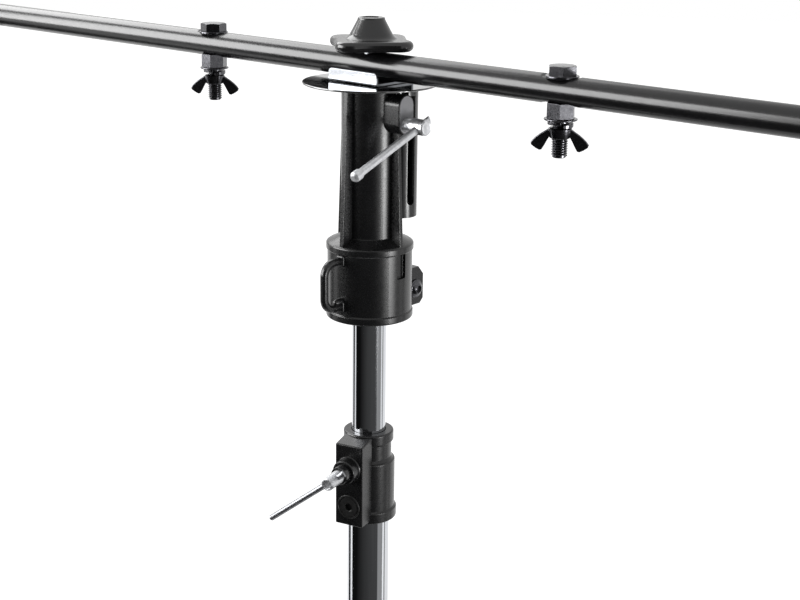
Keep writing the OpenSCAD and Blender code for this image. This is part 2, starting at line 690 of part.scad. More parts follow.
module mast_end_cap() color(black_plastic) {
    translate([0, 0, mast_foot_h - 4]) cylinder(r1 = lower_r - 1, r2 = lower_r + 0.5, h = 4);
    translate([0, 0, mast_foot_h]) cylinder(r = lower_inner_r, h = 14);
}

module clamp_outer() rotate_extrude($fn = 96) {
    barrel = clamp_d / 2;
    neck = clamp_neck_d / 2;
    polygon(concat([[0, clamp_foot]],
        rounded([0, clamp_foot], [barrel + 1.6, clamp_foot], [barrel + 1.6, clamp_top], 1.2),
        rounded([barrel + 1.6, clamp_foot], [barrel + 1.6, clamp_foot + clamp_foot_h],
            [barrel, clamp_foot + clamp_foot_h], 1),
        [[barrel, clamp_foot + clamp_foot_h + 0.6]],
        rounded([barrel, clamp_foot], [barrel, clamp_barrel_top], [neck, clamp_barrel_top + 2], 1.5),
        [[neck, clamp_barrel_top + 2.5], [neck, clamp_top - clamp_lip_h - 1]],
        rounded([neck, clamp_top - clamp_lip_h], [neck + 1.7, clamp_top - clamp_lip_h],
            [neck + 1.7, clamp_top], 0.8),
        rounded([neck + 1.7, clamp_foot], [neck + 1.7, clamp_top], [0, clamp_top], 1.4),
        [[0, clamp_top]]));
}

module mast_clamp() color(black_cast) rotate([0, 0, clamp_turn]) difference() {
    union() {
        clamp_outer();
        rotate([90, 0, 0]) translate([0, 0, -clamp_w / 2]) linear_extrude(clamp_w)
            polygon([[clamp_neck_d / 2 - 2, block_foot], [clamp_reach - 1, block_foot],
                [clamp_reach, block_foot + 1],
                     [clamp_reach, block_top - 1], [clamp_reach - 1, block_top], [clamp_neck_d / 2 - 2,
                         clamp_top - 1]]);
        translate([clamp_reach - 4, 0, clamp_screw_z]) rotate([0, 90, 0])
            cylinder(r = clamp_boss_r, h = clamp_boss_reach - clamp_reach + 4);
        translate([clamp_reach, 0, clamp_screw_z]) rotate([0, 90, 0])
            cylinder(r1 = clamp_boss_r + 1.6, r2 = clamp_boss_r, h = 1.6);
    }
    translate([0, 0, clamp_foot - over]) cylinder(r = lower_r, h = tube_seat - clamp_foot + over);
    translate([0, 0, tube_seat - over]) cylinder(r = bush_r, h = clamp_top - 3 - tube_seat + over);
    translate([0, 0, clamp_foot]) cylinder(r = upper_r + 0.5, h = clamp_h + over);
    translate([0, 0, clamp_screw_z]) rotate([0, 90, 0])
        cylinder(r = screw_r + fit, h = clamp_boss_reach + over);
    translate([clamp_reach - plug_depth, 0, clamp_plug_z]) rotate([0, 90, 0])
        cylinder(r = plug_r, h = plug_depth + over);
}

module mast_bush() color(nylon) rotate([0, 0, clamp_turn]) difference() {
    translate([0, 0, tube_seat]) tube(bush_r, upper_r + fit, clamp_top - 3 - tube_seat);
    translate([0, 0, clamp_screw_z]) rotate([0, 90, 0]) cylinder(r = screw_r + fit, h = lower_d);
}

module clamp_plug() color(black_plastic) rotate([0, 0, clamp_turn])
    translate([clamp_reach - plug_depth, 0, clamp_plug_z])
    rotate([0, 90, 0]) difference() {
        cylinder(r = plug_r, h = plug_depth + 0.8);
        translate([0, 0, plug_depth - 0.6]) tube(plug_r - 1.2, plug_r - 2.2, 3);
        translate([0, 0, plug_depth - 4]) hexagon(5, 8);
    }

module clamp_screw() at_clamp_screw() {
    color(chrome) t_screw(pad_end + 0.2, clamp_neck_from, clamp_head_l, screw_head_d - 1.5,
        clamp_pin_x, clamp_pin_droop, clamp_pin_r);
    color(black_plastic) translate([clamp_boss_reach + play, 0, 0]) rotate([0, 90, 0])
        cylinder(r = clamp_sleeve_r, h = clamp_sleeve_l - play);
}
module clamp_pad() color(brass) at_clamp_screw() pad(upper_r);
module clamp_tommy_bar() color(chrome) at_clamp_screw() translate([clamp_pin_x, 0, 0])
    sliding_bar(clamp_pin_droop, clamp_pin_l, false, clamp_pin_r);

// Tripod

module around(i) rotate([0, 0, 120 * (i - 1)]) children();

// Leg's own frame: hinge at the origin, leg along -Z, tube out along +X
module leg_frame(i) around(i) translate([hinge_r, 0, pivot_z]) rotate([0, -leg_spread, 0]) children();

// Two cheeks from a barrel to a hinge, in the plane of a leg
module cheeks(gap, knuckle, thick, from) for (side = [0, 1]) mirror([0, side, 0])
    translate([0, gap / 2, 0])
    rotate([-90, 0, 0]) {
        translate([hinge_r, 0, 0]) cylinder(r = knuckle, h = thick);
        translate([from, -knuckle, 0]) cube([hinge_r - from, 2 * knuckle, thick]);
    }

module leg_collar() color(black_cast) difference() {
    union() {
        translate([0, 0, pivot_z - 16]) cylinder(r = barrel_r + 1, h = 30, $fn = 96);
        translate([0, 0, pivot_z - 16]) cylinder(r = barrel_r - 1, h = leg_collar_h, $fn = 96);
        translate([0, 0, pivot_z - 16 + leg_collar_h - 6]) cylinder(r = barrel_r, h = 6, $fn = 96);
        for (i = [1 : 3]) around(i) translate([0, 0, pivot_z])
            cheeks(ear_t + 2 * play, knuckle_r, cheek_t, lower_r + 2);
        at_leg_screw() rotate([0, 90, 0]) cylinder(r = screw_r + 4.5, h = leg_boss_reach);
    }
    translate([0, 0, pivot_z - 16 - over]) cylinder(r = lower_r + fit, h = leg_collar_h + 2 * over);
    for (i = [1 : 3]) around(i) translate([hinge_r, 0, pivot_z]) rotate([90, 0, 0])
        cylinder(r = hinge_pin_d / 2, h = ear_t + 4 * cheek_t, center = true);
    at_leg_screw() rotate([0, 90, 0]) cylinder(r = screw_r + fit, h = leg_boss_reach + over);
}

module leg_hinge_pins() color(zinc) for (i = [1 : 3]) around(i) translate([hinge_r, 0, pivot_z])
    rotate([90, 0, 0]) {
    half = ear_t / 2 + play + cheek_t;
    translate([0, 0, -half]) cylinder(r = hinge_pin_d / 2, h = 2 * half);
    for (side = [0, 1]) mirror([0, 0, side]) translate([0, 0, half])
        cylinder(r1 = hinge_pin_d / 2 + 2, r2 = hinge_pin_d / 2, h = 2);
}

module leg_screw() color(chrome) at_leg_screw()
    t_screw(leg_pad_end + 0.2, leg_boss_reach + screw_neck, screw_head_l, screw_head_d, leg_pin_x, 90);
module leg_screw_pad() color(brass) at_leg_screw() pad(lower_r);
module leg_tommy_bar() color(chrome) at_leg_screw() translate([leg_pin_x, 0, 0])
    sliding_bar(90, leg_pin_l, false);

module leg_tube(i) color(chrome) leg_frame(i) translate([leg_offset, 0, -leg_l + 4])
    tube(leg_r, leg_r - mast_wall, leg_l - 4);

// Casting on the top of a leg, with the ear that hangs on the collar
module leg_end(i) color(black_cast) leg_frame(i) difference() {
    union() {
        translate([leg_offset, 0, 3 - leg_end_l]) cylinder(r = leg_end_r, h = leg_end_l - 2);
        translate([leg_offset, 0, 1]) cylinder(r1 = leg_end_r, r2 = leg_end_r - 2, h = 3);
        translate([0, -ear_t / 2, -24]) cube([leg_offset, ear_t, 24]);
        rotate([90, 0, 0]) cylinder(r = knuckle_r, h = ear_t, center = true);
    }
    rotate([90, 0, 0]) cylinder(r = hinge_pin_d / 2 + fit, h = ear_t + 2 * over, center = true);
    translate([leg_offset, 0, -leg_l]) cylinder(r = leg_r, h = leg_l);
}

// Clip round the leg tube, with two cheeks and the rivet that carries the brace
module brace_clip(i) color(zinc) leg_frame(i) translate([0, 0, -brace_l]) {
    gap = brace_t + 2 * play;
    difference() {
        union() {
            translate([leg_offset, 0, -clip_l / 2]) cylinder(r = clip_r, h = clip_l);
            for (side = [0, 1]) mirror([0, side, 0]) translate([0, gap / 2, 0]) rotate([-90, 0, 0]) {
                cylinder(r = eye_r + 1, h = clip_t);
                translate([0, -eye_r - 1, 0]) cube([leg_offset, 2 * eye_r + 2, clip_t]);
            }
        }
        translate([leg_offset, 0, -clip_l]) cylinder(r = leg_r, h = 2 * clip_l);
        rotate([90, 0, 0]) cylinder(r = rivet_d / 2, h = gap + 4 * clip_t, center = true);
    }
    rotate([90, 0, 0]) {
        cylinder(r = rivet_d / 2, h = gap + 2 * clip_t, center = true);
        for (side = [0, 1]) mirror([0, 0, side]) translate([0, 0, gap / 2 + clip_t])
            cylinder(r1 = rivet_head_r, r2 = rivet_d / 2, h = rivet_head_h);
    }
}

module leg_foot(i) color(rubber) difference() {
    leg_frame(i) translate([leg_offset, 0, -leg_l]) difference() {
        union() {
            sphere(r = foot_r);
            cylinder(r = foot_r, h = 34);
            translate([0, 0, 30]) cylinder(r1 = foot_r + 0.8, r2 = foot_r, h = 5);
        }
        translate([0, 0, 4]) cylinder(r = leg_r, h = 60);
    }
    around(i) translate([hinge_r, -100, -100]) cube([leg_l + 100, 200, 100]);
}

// Flat brace from the clip to the hub, its lower eye closed
module brace(i) color(zinc) around(i) translate([hinge_r + brace_l * sin(leg_spread), 0,
    pivot_z - brace_l * cos(leg_spread)])
    rotate([0, leg_spread, 0]) difference() {
        union() {
            for (z = [0, -brace_l]) translate([0, 0, z]) rotate([90, 0, 0])
                cylinder(r = eye_r, h = brace_t, center = true);
            translate([-eye_r, -brace_t / 2, -brace_l]) cube([brace_w, brace_t, brace_l]);
        }
        rotate([90, 0, 0]) cylinder(r = rivet_d / 2 + fit, h = brace_t + 2 * over, center = true);
    }

module lower_hub() color(black_cast) difference() {
    union() {
        translate([0, 0, hub_z - hub_h / 2]) cylinder(r = barrel_r - 1, h = hub_h, $fn = 96);
        translate([0, 0, hub_z - hub_h / 2]) cylinder(r = barrel_r, h = 5, $fn = 96);
        for (i = [1 : 3]) around(i) translate([0, 0, hub_z])
            cheeks(brace_t + 2 * play, hub_knuckle_r, cheek_t, lower_r + 2);
    }
    translate([0, 0, hub_z - hub_h]) cylinder(r = lower_r, h = 2 * hub_h);
    for (i = [1 : 3]) around(i) translate([hinge_r, 0, hub_z]) rotate([90, 0, 0])
        cylinder(r = rivet_d / 2, h = brace_t + 4 * cheek_t, center = true);
}

// Each rivet is two headed halves, which end at the cheeks' inner faces
module hub_rivets() color(zinc) for (i = [1 : 3]) around(i) translate([hinge_r, 0, hub_z])
    rotate([90, 0, 0])
    for (side = [0, 1]) mirror([0, 0, side]) translate([0, 0, brace_t / 2 + play]) {
        cylinder(r = rivet_d / 2, h = cheek_t);
        translate([0, 0, cheek_t]) cylinder(r1 = rivet_head_r, r2 = rivet_d / 2, h = rivet_head_h);
    }

crossbar_tube();
crossbar_caps();
fixture_bolts();
bolt_washers();
lock_nuts();
saddle_channel();
fixture_washers(1);  // fixture_washers_1
fixture_washers(2);  // fixture_washers_2
fixture_washers(3);  // fixture_washers_3
fixture_washers(4);  // fixture_washers_4
wing_nut(1);  // wing_nut_1
wing_nut(2);  // wing_nut_2
wing_nut(3);  // wing_nut_3
wing_nut(4);  // wing_nut_4
top_knob();
knob_washer();
clamp_stud();
head_casting();
head_liner();
thrust_washer();
top_disc();
slotted_guide();
safety_eyelet();
collar_bolt();
head_screw();
head_screw_pad();
head_tommy_bar();
upper_mast_tube();
upper_tube_plug();
tube_slider();
lower_mast_tube();
mast_end_cap();
mast_clamp();
mast_bush();
clamp_plug();
clamp_screw();
clamp_pad();
clamp_tommy_bar();
leg_collar();
leg_hinge_pins();
leg_screw();
leg_screw_pad();
leg_tommy_bar();
leg_tube(1);  // leg_tube_1
leg_tube(2);  // leg_tube_2
leg_tube(3);  // leg_tube_3
leg_end(1);  // leg_end_1
leg_end(2);  // leg_end_2
leg_end(3);  // leg_end_3
brace_clip(1);  // brace_clip_1
brace_clip(2);  // brace_clip_2
brace_clip(3);  // brace_clip_3
leg_foot(1);  // leg_foot_1
leg_foot(2);  // leg_foot_2
leg_foot(3);  // leg_foot_3
brace(1);  // brace_1
brace(2);  // brace_2
brace(3);  // brace_3
lower_hub();
hub_rivets();
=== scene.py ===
"""Lighting stand with a T-bar: crossbar, clamp knob, head, telescopic mast and folding tripod."""

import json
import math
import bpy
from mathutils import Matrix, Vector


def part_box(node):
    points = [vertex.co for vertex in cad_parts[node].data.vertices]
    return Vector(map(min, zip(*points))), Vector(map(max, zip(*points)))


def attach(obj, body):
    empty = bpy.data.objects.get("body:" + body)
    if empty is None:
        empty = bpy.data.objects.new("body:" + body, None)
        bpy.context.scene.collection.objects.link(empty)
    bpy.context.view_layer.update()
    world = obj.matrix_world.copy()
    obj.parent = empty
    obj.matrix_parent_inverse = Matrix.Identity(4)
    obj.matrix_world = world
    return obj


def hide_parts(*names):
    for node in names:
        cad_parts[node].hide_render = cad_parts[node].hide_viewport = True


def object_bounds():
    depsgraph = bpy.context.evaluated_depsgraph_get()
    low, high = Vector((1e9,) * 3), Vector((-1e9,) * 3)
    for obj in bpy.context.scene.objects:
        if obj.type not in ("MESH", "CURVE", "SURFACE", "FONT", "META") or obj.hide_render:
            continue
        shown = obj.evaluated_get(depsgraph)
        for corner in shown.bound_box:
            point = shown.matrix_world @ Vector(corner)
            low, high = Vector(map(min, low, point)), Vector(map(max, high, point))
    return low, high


bl_info = {
    "name": "Lighting T-bar stand",
    "version": (1, 0, 0),
    "blender": (4, 5, 0),
    "location": "View3D > Sidebar > T-bar stand",
    "description": "Builds the crossbar, head, mast and studio of a lighting stand",
    "category": "Add Mesh",
}

import bmesh
import bpy
from bpy.props import FloatProperty, FloatVectorProperty, PointerProperty, StringProperty
from bpy.types import Operator, Panel, PropertyGroup
from mathutils import Matrix, Vector

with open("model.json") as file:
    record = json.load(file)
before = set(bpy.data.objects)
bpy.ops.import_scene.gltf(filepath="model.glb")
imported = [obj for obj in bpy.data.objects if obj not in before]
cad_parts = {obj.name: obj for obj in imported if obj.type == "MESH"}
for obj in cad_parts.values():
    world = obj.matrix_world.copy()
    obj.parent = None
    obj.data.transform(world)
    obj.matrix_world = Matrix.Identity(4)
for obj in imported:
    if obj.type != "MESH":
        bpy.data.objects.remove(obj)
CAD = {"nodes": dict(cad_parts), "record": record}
CAD_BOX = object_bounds()

MM = 0.001  # pieces are modelled in millimetres and made metres at the end
WHITE = (1, 1, 1, 1)


def level(node, end):
    """Height of a CAD node's lowest (0) or highest (1) point, in millimetres."""
    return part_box(node)[end].z / MM


BAR = (level("crossbar_tube", 0) + level("crossbar_tube", 1)) / 2
BAR_R = (level("crossbar_tube", 1) - level("crossbar_tube", 0)) / 2
BOLTS = (-540.0, -180.0, 180.0, 540.0)  # along the bar
BOLT_TURNS = (10, 14, 38, 52)  # degrees of each bolt's hex
WING_TURNS = (75, 33, 25, 110)  # degrees of each wing nut
CLAMP_TURN = -76.0  # degrees of the mast clamp's screw about the mast
CLAMP_SCREW_Z = (level("clamp_pad", 0) + level("clamp_pad", 1)) / 2
HEAD_SCREW_Z = (level("head_screw_pad", 0) + level("head_screw_pad", 1)) / 2


# Sizes and colours a user would change


def millimetres(name, description, default):
    """A length that is given in millimetres."""
    return FloatProperty(name=name, description=description, default=default * MM, unit="LENGTH", precision=4)


def coat_colour(name, description, code):
    """A colour as an sRGB hex code."""
    return StringProperty(name=name, description=description, default=code)


class CrossbarSizes(PropertyGroup):
    wall: millimetres("Tube wall", "Wall of the crossbar tube", 2.2)
    flat: millimetres("Pressed height", "Half the tube's height where a bolt goes through", 8.6)
    press: millimetres("Pressed length", "Length of each pressed spot", 25)
    run_out: millimetres("Run-out", "Length over which a pressed spot fades into the round tube", 4)
    pitch: millimetres("Thread pitch", "Pitch of the fixture bolts' thread", 1.75)
    wing_thickness: millimetres("Wing thickness", "Thickness of a wing of the wing nuts", 3.6)


class KnobSizes(PropertyGroup):
    width: millimetres("Plate width", "Width of the knob's square plate", 60)
    corner: millimetres("Corner radius", "Radius of the plate's corners seen from above", 12)
    hollow: millimetres("Hollow", "How far the plate's sides draw in between its corners", 2)
    thickness: millimetres("Plate thickness", "Thickness of the knob's plate", 8)
    turn: FloatProperty(name="Turn", description="Turn of the plate about the mast", default=math.radians(50),
                        subtype="ANGLE")


class HeadSizes(PropertyGroup):
    fin: millimetres("Fin thickness", "Thickness of the sleeve's four fins", 3.6)
    collar: millimetres("Collar radius", "Radius of the collar", 34)
    lip: millimetres("Lip", "How far the collar's lips stand out", 1)
    boss: millimetres("Boss width", "Width of the clamp boss", 17.2)
    split: millimetres("Split", "Width of the split in the collar", 3)


class Finishes(PropertyGroup):
    bar: coat_colour("Bar coat", "Powder coat of the crossbar", "#101011")
    casting: coat_colour("Casting coat", "Enamel on the castings", "#0D0D0E")
    plastic: coat_colour("Moulded plastic", "Knob and plugs", "#131314")
    zinc: coat_colour("Bright zinc", "Saddle and rivets", "#9A9C9F")
    dark_zinc: coat_colour("Black zinc", "Bolts, nuts and washers", "#444447")
    chrome: coat_colour("Chrome", "Mast tubes, legs, screws and bars", "#C9CBCE")


class StudioSettings(PropertyGroup):
    lens: FloatProperty(name="Lens", description="Focal length on a 36 mm sensor", default=68.12, min=20, max=200)
    azimuth: FloatProperty(name="Azimuth", description="Direction of the camera round the mast",
                           default=math.radians(41.005), subtype="ANGLE")
    pitch: FloatProperty(name="Pitch", description="How far the camera looks down",
                         default=math.radians(16.627), subtype="ANGLE")
    roll: FloatProperty(name="Roll", description="Tilt of the camera about its own axis",
                        default=math.radians(0.724), subtype="ANGLE")
    place: FloatVectorProperty(name="Place", description="Where the camera stands",
                               default=(0.788587, -0.869430, 1.560706), subtype="TRANSLATION")
    sky: FloatProperty(name="Sky", description="Strength of the even light from all round", default=0.45,
                       min=0, max=2)
    key: FloatProperty(name="Key light", description="Power of the wide lamp at the front left", default=40,
                       min=0, subtype="POWER")
    softbox: FloatProperty(name="Softbox", description="Brightness of the softbox in reflections", default=12, min=0)
    back: FloatProperty(name="Back light", description="Brightness of the high card at the left in reflections",
                        default=9, min=0)
    side: FloatProperty(name="Side light", description="Power of the lamp at the right", default=42, min=0,
                        subtype="POWER")


# Shapes


def turned(outline, steps=96, closed=False):
    """A shape turned about Z from points of (radius, height). A closed outline makes a ring."""
    bm = bmesh.new()
    verts = [bm.verts.new((r, 0, z)) for r, z in outline]
    pairs = list(zip(verts, verts[1:]))
    if closed:
        pairs.append((verts[-1], verts[0]))
    edges = [bm.edges.new(p) for p in pairs]
    bmesh.ops.spin(bm, geom=verts + edges, cent=(0, 0, 0), axis=(0, 0, 1), angle=math.tau, steps=steps,
                   use_merge=True)
    bmesh.ops.remove_doubles(bm, verts=bm.verts, dist=1e-4)
    bmesh.ops.recalc_face_normals(bm, faces=bm.faces)
    return bm


def arc(centre, radius, start, end, steps=5):
    """Points of a rounding in an outline, angles in degrees."""
    angles = [math.radians(start + (end - start) * i / steps) for i in range(steps + 1)]
    return [(centre[0] + radius * math.cos(a), centre[1] + radius * math.sin(a)) for a in angles]


def slab(outline, thickness, bevel=0.0, segments=3):
    """A flat outline in XY, extruded along Z about the middle, with its rims rounded."""
    bm = bmesh.new()
    face = bm.faces.new([bm.verts.new((x, y, -thickness / 2)) for x, y in outline])
    out = bmesh.ops.extrude_face_region(bm, geom=[face])
    top = [g for g in out["geom"] if isinstance(g, bmesh.types.BMVert)]
    bmesh.ops.translate(bm, vec=(0, 0, thickness), verts=top)
    bmesh.ops.recalc_face_normals(bm, faces=bm.faces)
    if bevel:
        rims = [e for e in bm.edges if abs(e.verts[0].co.z - e.verts[1].co.z) < 1e-6]
        soften(bm, rims, bevel, segments)
    return bm


def soften(bm, edges, offset, segments=3):
    """Rounds edges of the shape."""
    bmesh.ops.bevel(bm, geom=edges, offset=offset, offset_type="OFFSET", segments=segments, profile=0.5,
                    affect="EDGES", clamp_overlap=True, material=-1)


def block(size, centre, bevel=0.0, segments=3):
    """A box with its edges rounded."""
    bm = bmesh.new()
    bmesh.ops.create_cube(bm, size=1)
    bmesh.ops.scale(bm, vec=size, verts=bm.verts)
    if bevel:
        soften(bm, bm.edges[:], bevel, segments)
    bmesh.ops.translate(bm, vec=centre, verts=bm.verts)
    return bm


def moved(bm, *matrices):
    """The shape with the matrices applied, the first one first."""
    for m in matrices:
        bm.transform(m)
    return bm


def turn(degrees, axis):
    """A turn about an axis through the origin."""
    return Matrix.Rotation(math.radians(degrees), 4, axis)


def shift(x, y, z):
    """A move."""
    return Matrix.Translation((x, y, z))


ALONG_X = turn(90, "Y")  # a shape made along Z then lies along X


def linked(name, bm):
    """The shape as an object of the scene."""
    mesh = bpy.data.meshes.new(name)
    bm.to_mesh(mesh)
    bm.free()
    obj = bpy.data.objects.new(name, mesh)
    bpy.context.scene.collection.objects.link(obj)
    return obj


def gathered(*shapes):
    """Several closed shapes in one mesh."""
    bm = bmesh.new()
    for s in shapes:
        mesh = bpy.data.meshes.new("shape")
        s.to_mesh(mesh)
        s.free()
        bm.from_mesh(mesh)
        bpy.data.meshes.remove(mesh)
    return bm


def carved(base, operation, *tools):
    """The base with the tools united with it (UNION), cut out of it (DIFFERENCE) or all they share (INTERSECT)."""
    made = [linked("carving", s) for s in (base, *tools)]
    for tool in made[1:]:
        cut = made[0].modifiers.new("carve", "BOOLEAN")
        cut.operation = operation
        cut.solver = "EXACT"
        cut.object = tool
    bpy.context.view_layer.update()
    graph = bpy.context.evaluated_depsgraph_get()
    mesh = bpy.data.meshes.new_from_object(made[0].evaluated_get(graph))
    bm = bmesh.new()
    bm.from_mesh(mesh)
    bpy.data.meshes.remove(mesh)
    for o in made:
        old = o.data
        bpy.data.objects.remove(o)
        bpy.data.meshes.remove(old)
    if not bm.faces:
        raise RuntimeError("a carving came out empty")
    bmesh.ops.remove_doubles(bm, verts=bm.verts, dist=1e-3)
    return bm


def threaded(radius, root, pitch, turns, steps=28):
    """One closed screw thread that climbs Z from 0, V-shaped, over a plain core."""
    bm = bmesh.new()
    outline = [(root - 0.3, 0), (root, 0.08 * pitch), (radius, 0.46 * pitch), (radius, 0.56 * pitch),
               (root, 0.94 * pitch), (root - 0.3, pitch)]
    verts = [bm.verts.new((r, 0, z)) for r, z in outline]
    edges = [bm.edges.new(p) for p in zip(verts, verts[1:] + verts[:1])]
    count = int(steps * turns)
    bmesh.ops.spin(bm, geom=verts + edges, cent=(0, 0, 0), axis=(0, 0, 1), dvec=(0, 0, pitch / steps),
                   angle=math.tau * count / steps, steps=count)
    bmesh.ops.holes_fill(bm, edges=[e for e in bm.edges if e.is_boundary])
    bmesh.ops.recalc_face_normals(bm, faces=bm.faces)
    return bm


def level_faces(obj):
    """Lets large faces lead the shading, so that the rounding at its end doesn't bend a long wall."""
    lead = obj.modifiers.new("large faces lead", "WEIGHTED_NORMAL")
    lead.keep_sharp = True


def piece(name, bm, body, coat, stands_for=(), edge=0.0, sharp=32.0):
    """Makes the shape an object in metres that rides on a CAD body."""
    bmesh.ops.scale(bm, vec=(MM, MM, MM), verts=bm.verts)
    obj = linked(name, bm)
    mesh = obj.data
    mesh.shade_smooth()
    mesh.set_sharp_from_angle(angle=math.radians(sharp))
    for c in (coat if isinstance(coat, list) else [coat]):
        mesh.materials.append(c)
    if edge:
        rounding = obj.modifiers.new("rounded edges", "BEVEL")
        rounding.width = edge * MM
        rounding.segments = 2
        rounding.limit_method = "ANGLE"
        rounding.angle_limit = math.radians(sharp)
        rounding.harden_normals = True
        rounding.use_clamp_overlap = True
    level_faces(obj)
    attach(obj, body)
    if stands_for:
        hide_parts(*stands_for)
    return obj


# Materials


def linear(code):
    """An sRGB hex colour as linear RGBA."""
    parts = [int(code[i:i + 2], 16) / 255 for i in (1, 3, 5)]
    return tuple(c / 12.92 if c <= 0.04045 else ((c + 0.055) / 1.055) ** 2.4 for c in parts) + (1.0,)


def node(tree, kind, settings=None, links=None):
    """Adds a node with its settings and the sockets that feed it. A socket goes by its name or number."""
    made = tree.nodes.new(kind)
    for key, value in (settings or {}).items():
        if isinstance(key, str) and hasattr(made, key):
            setattr(made, key, value)
        else:
            made.inputs[key].default_value = value
    for key, source in (links or {}).items():
        tree.links.new(source, made.inputs[key])
    return made


def fresh(name):
    """A new material, its empty tree and its object coordinates."""
    made = bpy.data.materials.new(name)
    made.use_nodes = True
    made.node_tree.nodes.clear()
    return made, made.node_tree, node(made.node_tree, "ShaderNodeTexCoord").outputs["Object"]


def started(name):
    """A finish's material, with its tree and coordinates while it is yet to be made."""
    made = bpy.data.materials.get(name)
    return (made, None, None) if made else fresh(name)


def mottled(tree, at, size_mm, low=0.0, high=1.0, detail=3.0):
    """Noise of a real grain size, mapped to a range."""
    noise = node(tree, "ShaderNodeTexNoise", {"Scale": 1 / (size_mm * MM), "Detail": detail, "Roughness": 0.6},
                 {"Vector": at})
    return node(tree, "ShaderNodeMapRange", {"From Min": 0.3, "From Max": 0.7, "To Min": low, "To Max": high},
                {"Value": noise.outputs["Fac"]}).outputs["Result"]


def ended(tree, tone, colours, rough, relief, settings):
    """Shader and output of a finish. The tone mixes two hex colours; relief is a height, its strength
    and its depth in millimetres."""
    height, strength, depth_mm = relief
    mix = node(tree, "ShaderNodeMix", {"data_type": "RGBA", 6: linear(colours[0]), 7: linear(colours[1])}, {0: tone})
    bump = node(tree, "ShaderNodeBump", {"Strength": strength, "Distance": depth_mm * MM}, {"Height": height})
    shader = node(tree, "ShaderNodeBsdfPrincipled", settings,
                  {"Base Color": mix.outputs[2], "Roughness": rough, "Normal": bump.outputs["Normal"]})
    node(tree, "ShaderNodeOutputMaterial", None, {"Surface": shader.outputs["BSDF"]})


def satin_powder_coat():
    """Black polyester powder coat on steel: satin, with an orange peel that breaks the highlight softly."""
    made, tree, at = started("satin powder coat")
    if tree:
        peel = mottled(tree, at, 1.6, detail=2.0)
        ended(tree, mottled(tree, at, 30), (bpy.context.scene.tbar_finish.bar, "#151516"),
              mottled(tree, at, 5, 0.2, 0.25), (peel, 0.06, 0.05), {"IOR": 1.55, "Specular IOR Level": 0.4})
    return made


def casting_enamel():
    """Black stoving enamel on a sand-blasted alloy casting: semi-gloss, and the grain shows through."""
    made, tree, at = started("casting enamel")
    if tree:
        grain = mottled(tree, at, 1.2, detail=2.0)
        ended(tree, mottled(tree, at, 14), (bpy.context.scene.tbar_finish.casting, "#131314"),
              mottled(tree, at, 3, 0.24, 0.3), (grain, 0.02, 0.05), {"IOR": 1.5, "Specular IOR Level": 0.4})
    return made


def raw_casting_face():
    """The boss's face, linished through the enamel: dull dark grey with a coarse grain."""
    made, tree, at = started("linished casting face")
    if tree:
        grain = mottled(tree, at, 0.5, detail=5.0)
        ended(tree, grain, ("#5A5A5C", "#8E8E91"), mottled(tree, at, 0.8, 0.45, 0.65), (grain, 0.5, 0.08),
              {"Metallic": 0.35, "IOR": 1.5})
    return made


def gloss_enamel_plate():
    """Gloss black enamel on sheet steel: an even film that mirrors the saddle."""
    made, tree, at = started("gloss enamel plate")
    if tree:
        swell = mottled(tree, at, 6, detail=1.0)
        ended(tree, mottled(tree, at, 20), ("#101011", "#161617"), mottled(tree, at, 8, 0.06, 0.11),
              (swell, 0.05, 0.03),
              {"IOR": 1.6, "Specular IOR Level": 0.9, "Coat Weight": 0.6, "Coat Roughness": 0.04})
    return made


def moulded_abs():
    """Black ABS from a polished mould: glossy, with faint sink marks and handling scuffs."""
    made, tree, at = started("moulded ABS")
    if tree:
        sink = mottled(tree, at, 11, detail=1.0)
        scuff = mottled(tree, at, 0.7, detail=5.0)
        ended(tree, scuff, (bpy.context.scene.tbar_finish.plastic, "#1A1A1B"),
              mottled(tree, at, 1.8, 0.17, 0.25, 5.0), (sink, 0.12, 0.15),
              {"IOR": 1.54, "Specular IOR Level": 0.45})
    return made


def matt_polypropylene():
    """Black polypropylene with a fine spark-eroded grain: dull, slightly waxy."""
    made, tree, at = started("matt polypropylene")
    if tree:
        grain = mottled(tree, at, 0.4, detail=4.0)
        ended(tree, mottled(tree, at, 9), ("#161616", "#1E1E1E"), mottled(tree, at, 4, 0.32, 0.4),
              (grain, 0.15, 0.04), {"IOR": 1.49, "Specular IOR Level": 0.35})
    return made


def black_zinc_plate():
    """Black zinc plate on rolled steel: a dark metal sheen, blotchy, with a light bloom."""
    made, tree, at = started("black zinc plate")
    if tree:
        blotch = mottled(tree, at, 1.6, detail=5.0)
        ended(tree, blotch, (bpy.context.scene.tbar_finish.dark_zinc, "#5C5C5F"),
              mottled(tree, at, 1.1, 0.13, 0.22, 4.0), (blotch, 0.05, 0.04), {"Metallic": 1.0})
    return made


def bright_zinc_plate():
    """Clear-passivated zinc on pressed sheet: pale silver with faint draw lines and a blue-grey bloom."""
    made, tree, at = started("bright zinc plate")
    if tree:
        drawn = node(tree, "ShaderNodeMapping", {"Scale": (0.06, 1.0, 1.0)}, {"Vector": at}).outputs["Vector"]
        ended(tree, mottled(tree, at, 5, detail=4.0), (bpy.context.scene.tbar_finish.zinc, "#888B90"),
              mottled(tree, drawn, 0.9, 0.17, 0.23), (mottled(tree, drawn, 0.5), 0.02, 0.02), {"Metallic": 1.0})
    return made


def chrome_plate():
    """Decorative chromium on polished steel tube: a near mirror with faint lines along the draw."""
    made, tree, at = started("chrome plate")
    if tree:
        drawn = node(tree, "ShaderNodeMapping", {"Scale": (1.0, 1.0, 0.03)}, {"Vector": at}).outputs["Vector"]
        lines = mottled(tree, drawn, 1.4, detail=2.0)
        ended(tree, mottled(tree, drawn, 4), (bpy.context.scene.tbar_finish.chrome, "#BABCC0"),
              mottled(tree, drawn, 2.2, 0.03, 0.08), (lines, 0.08, 0.03), {"Metallic": 1.0})
    return made


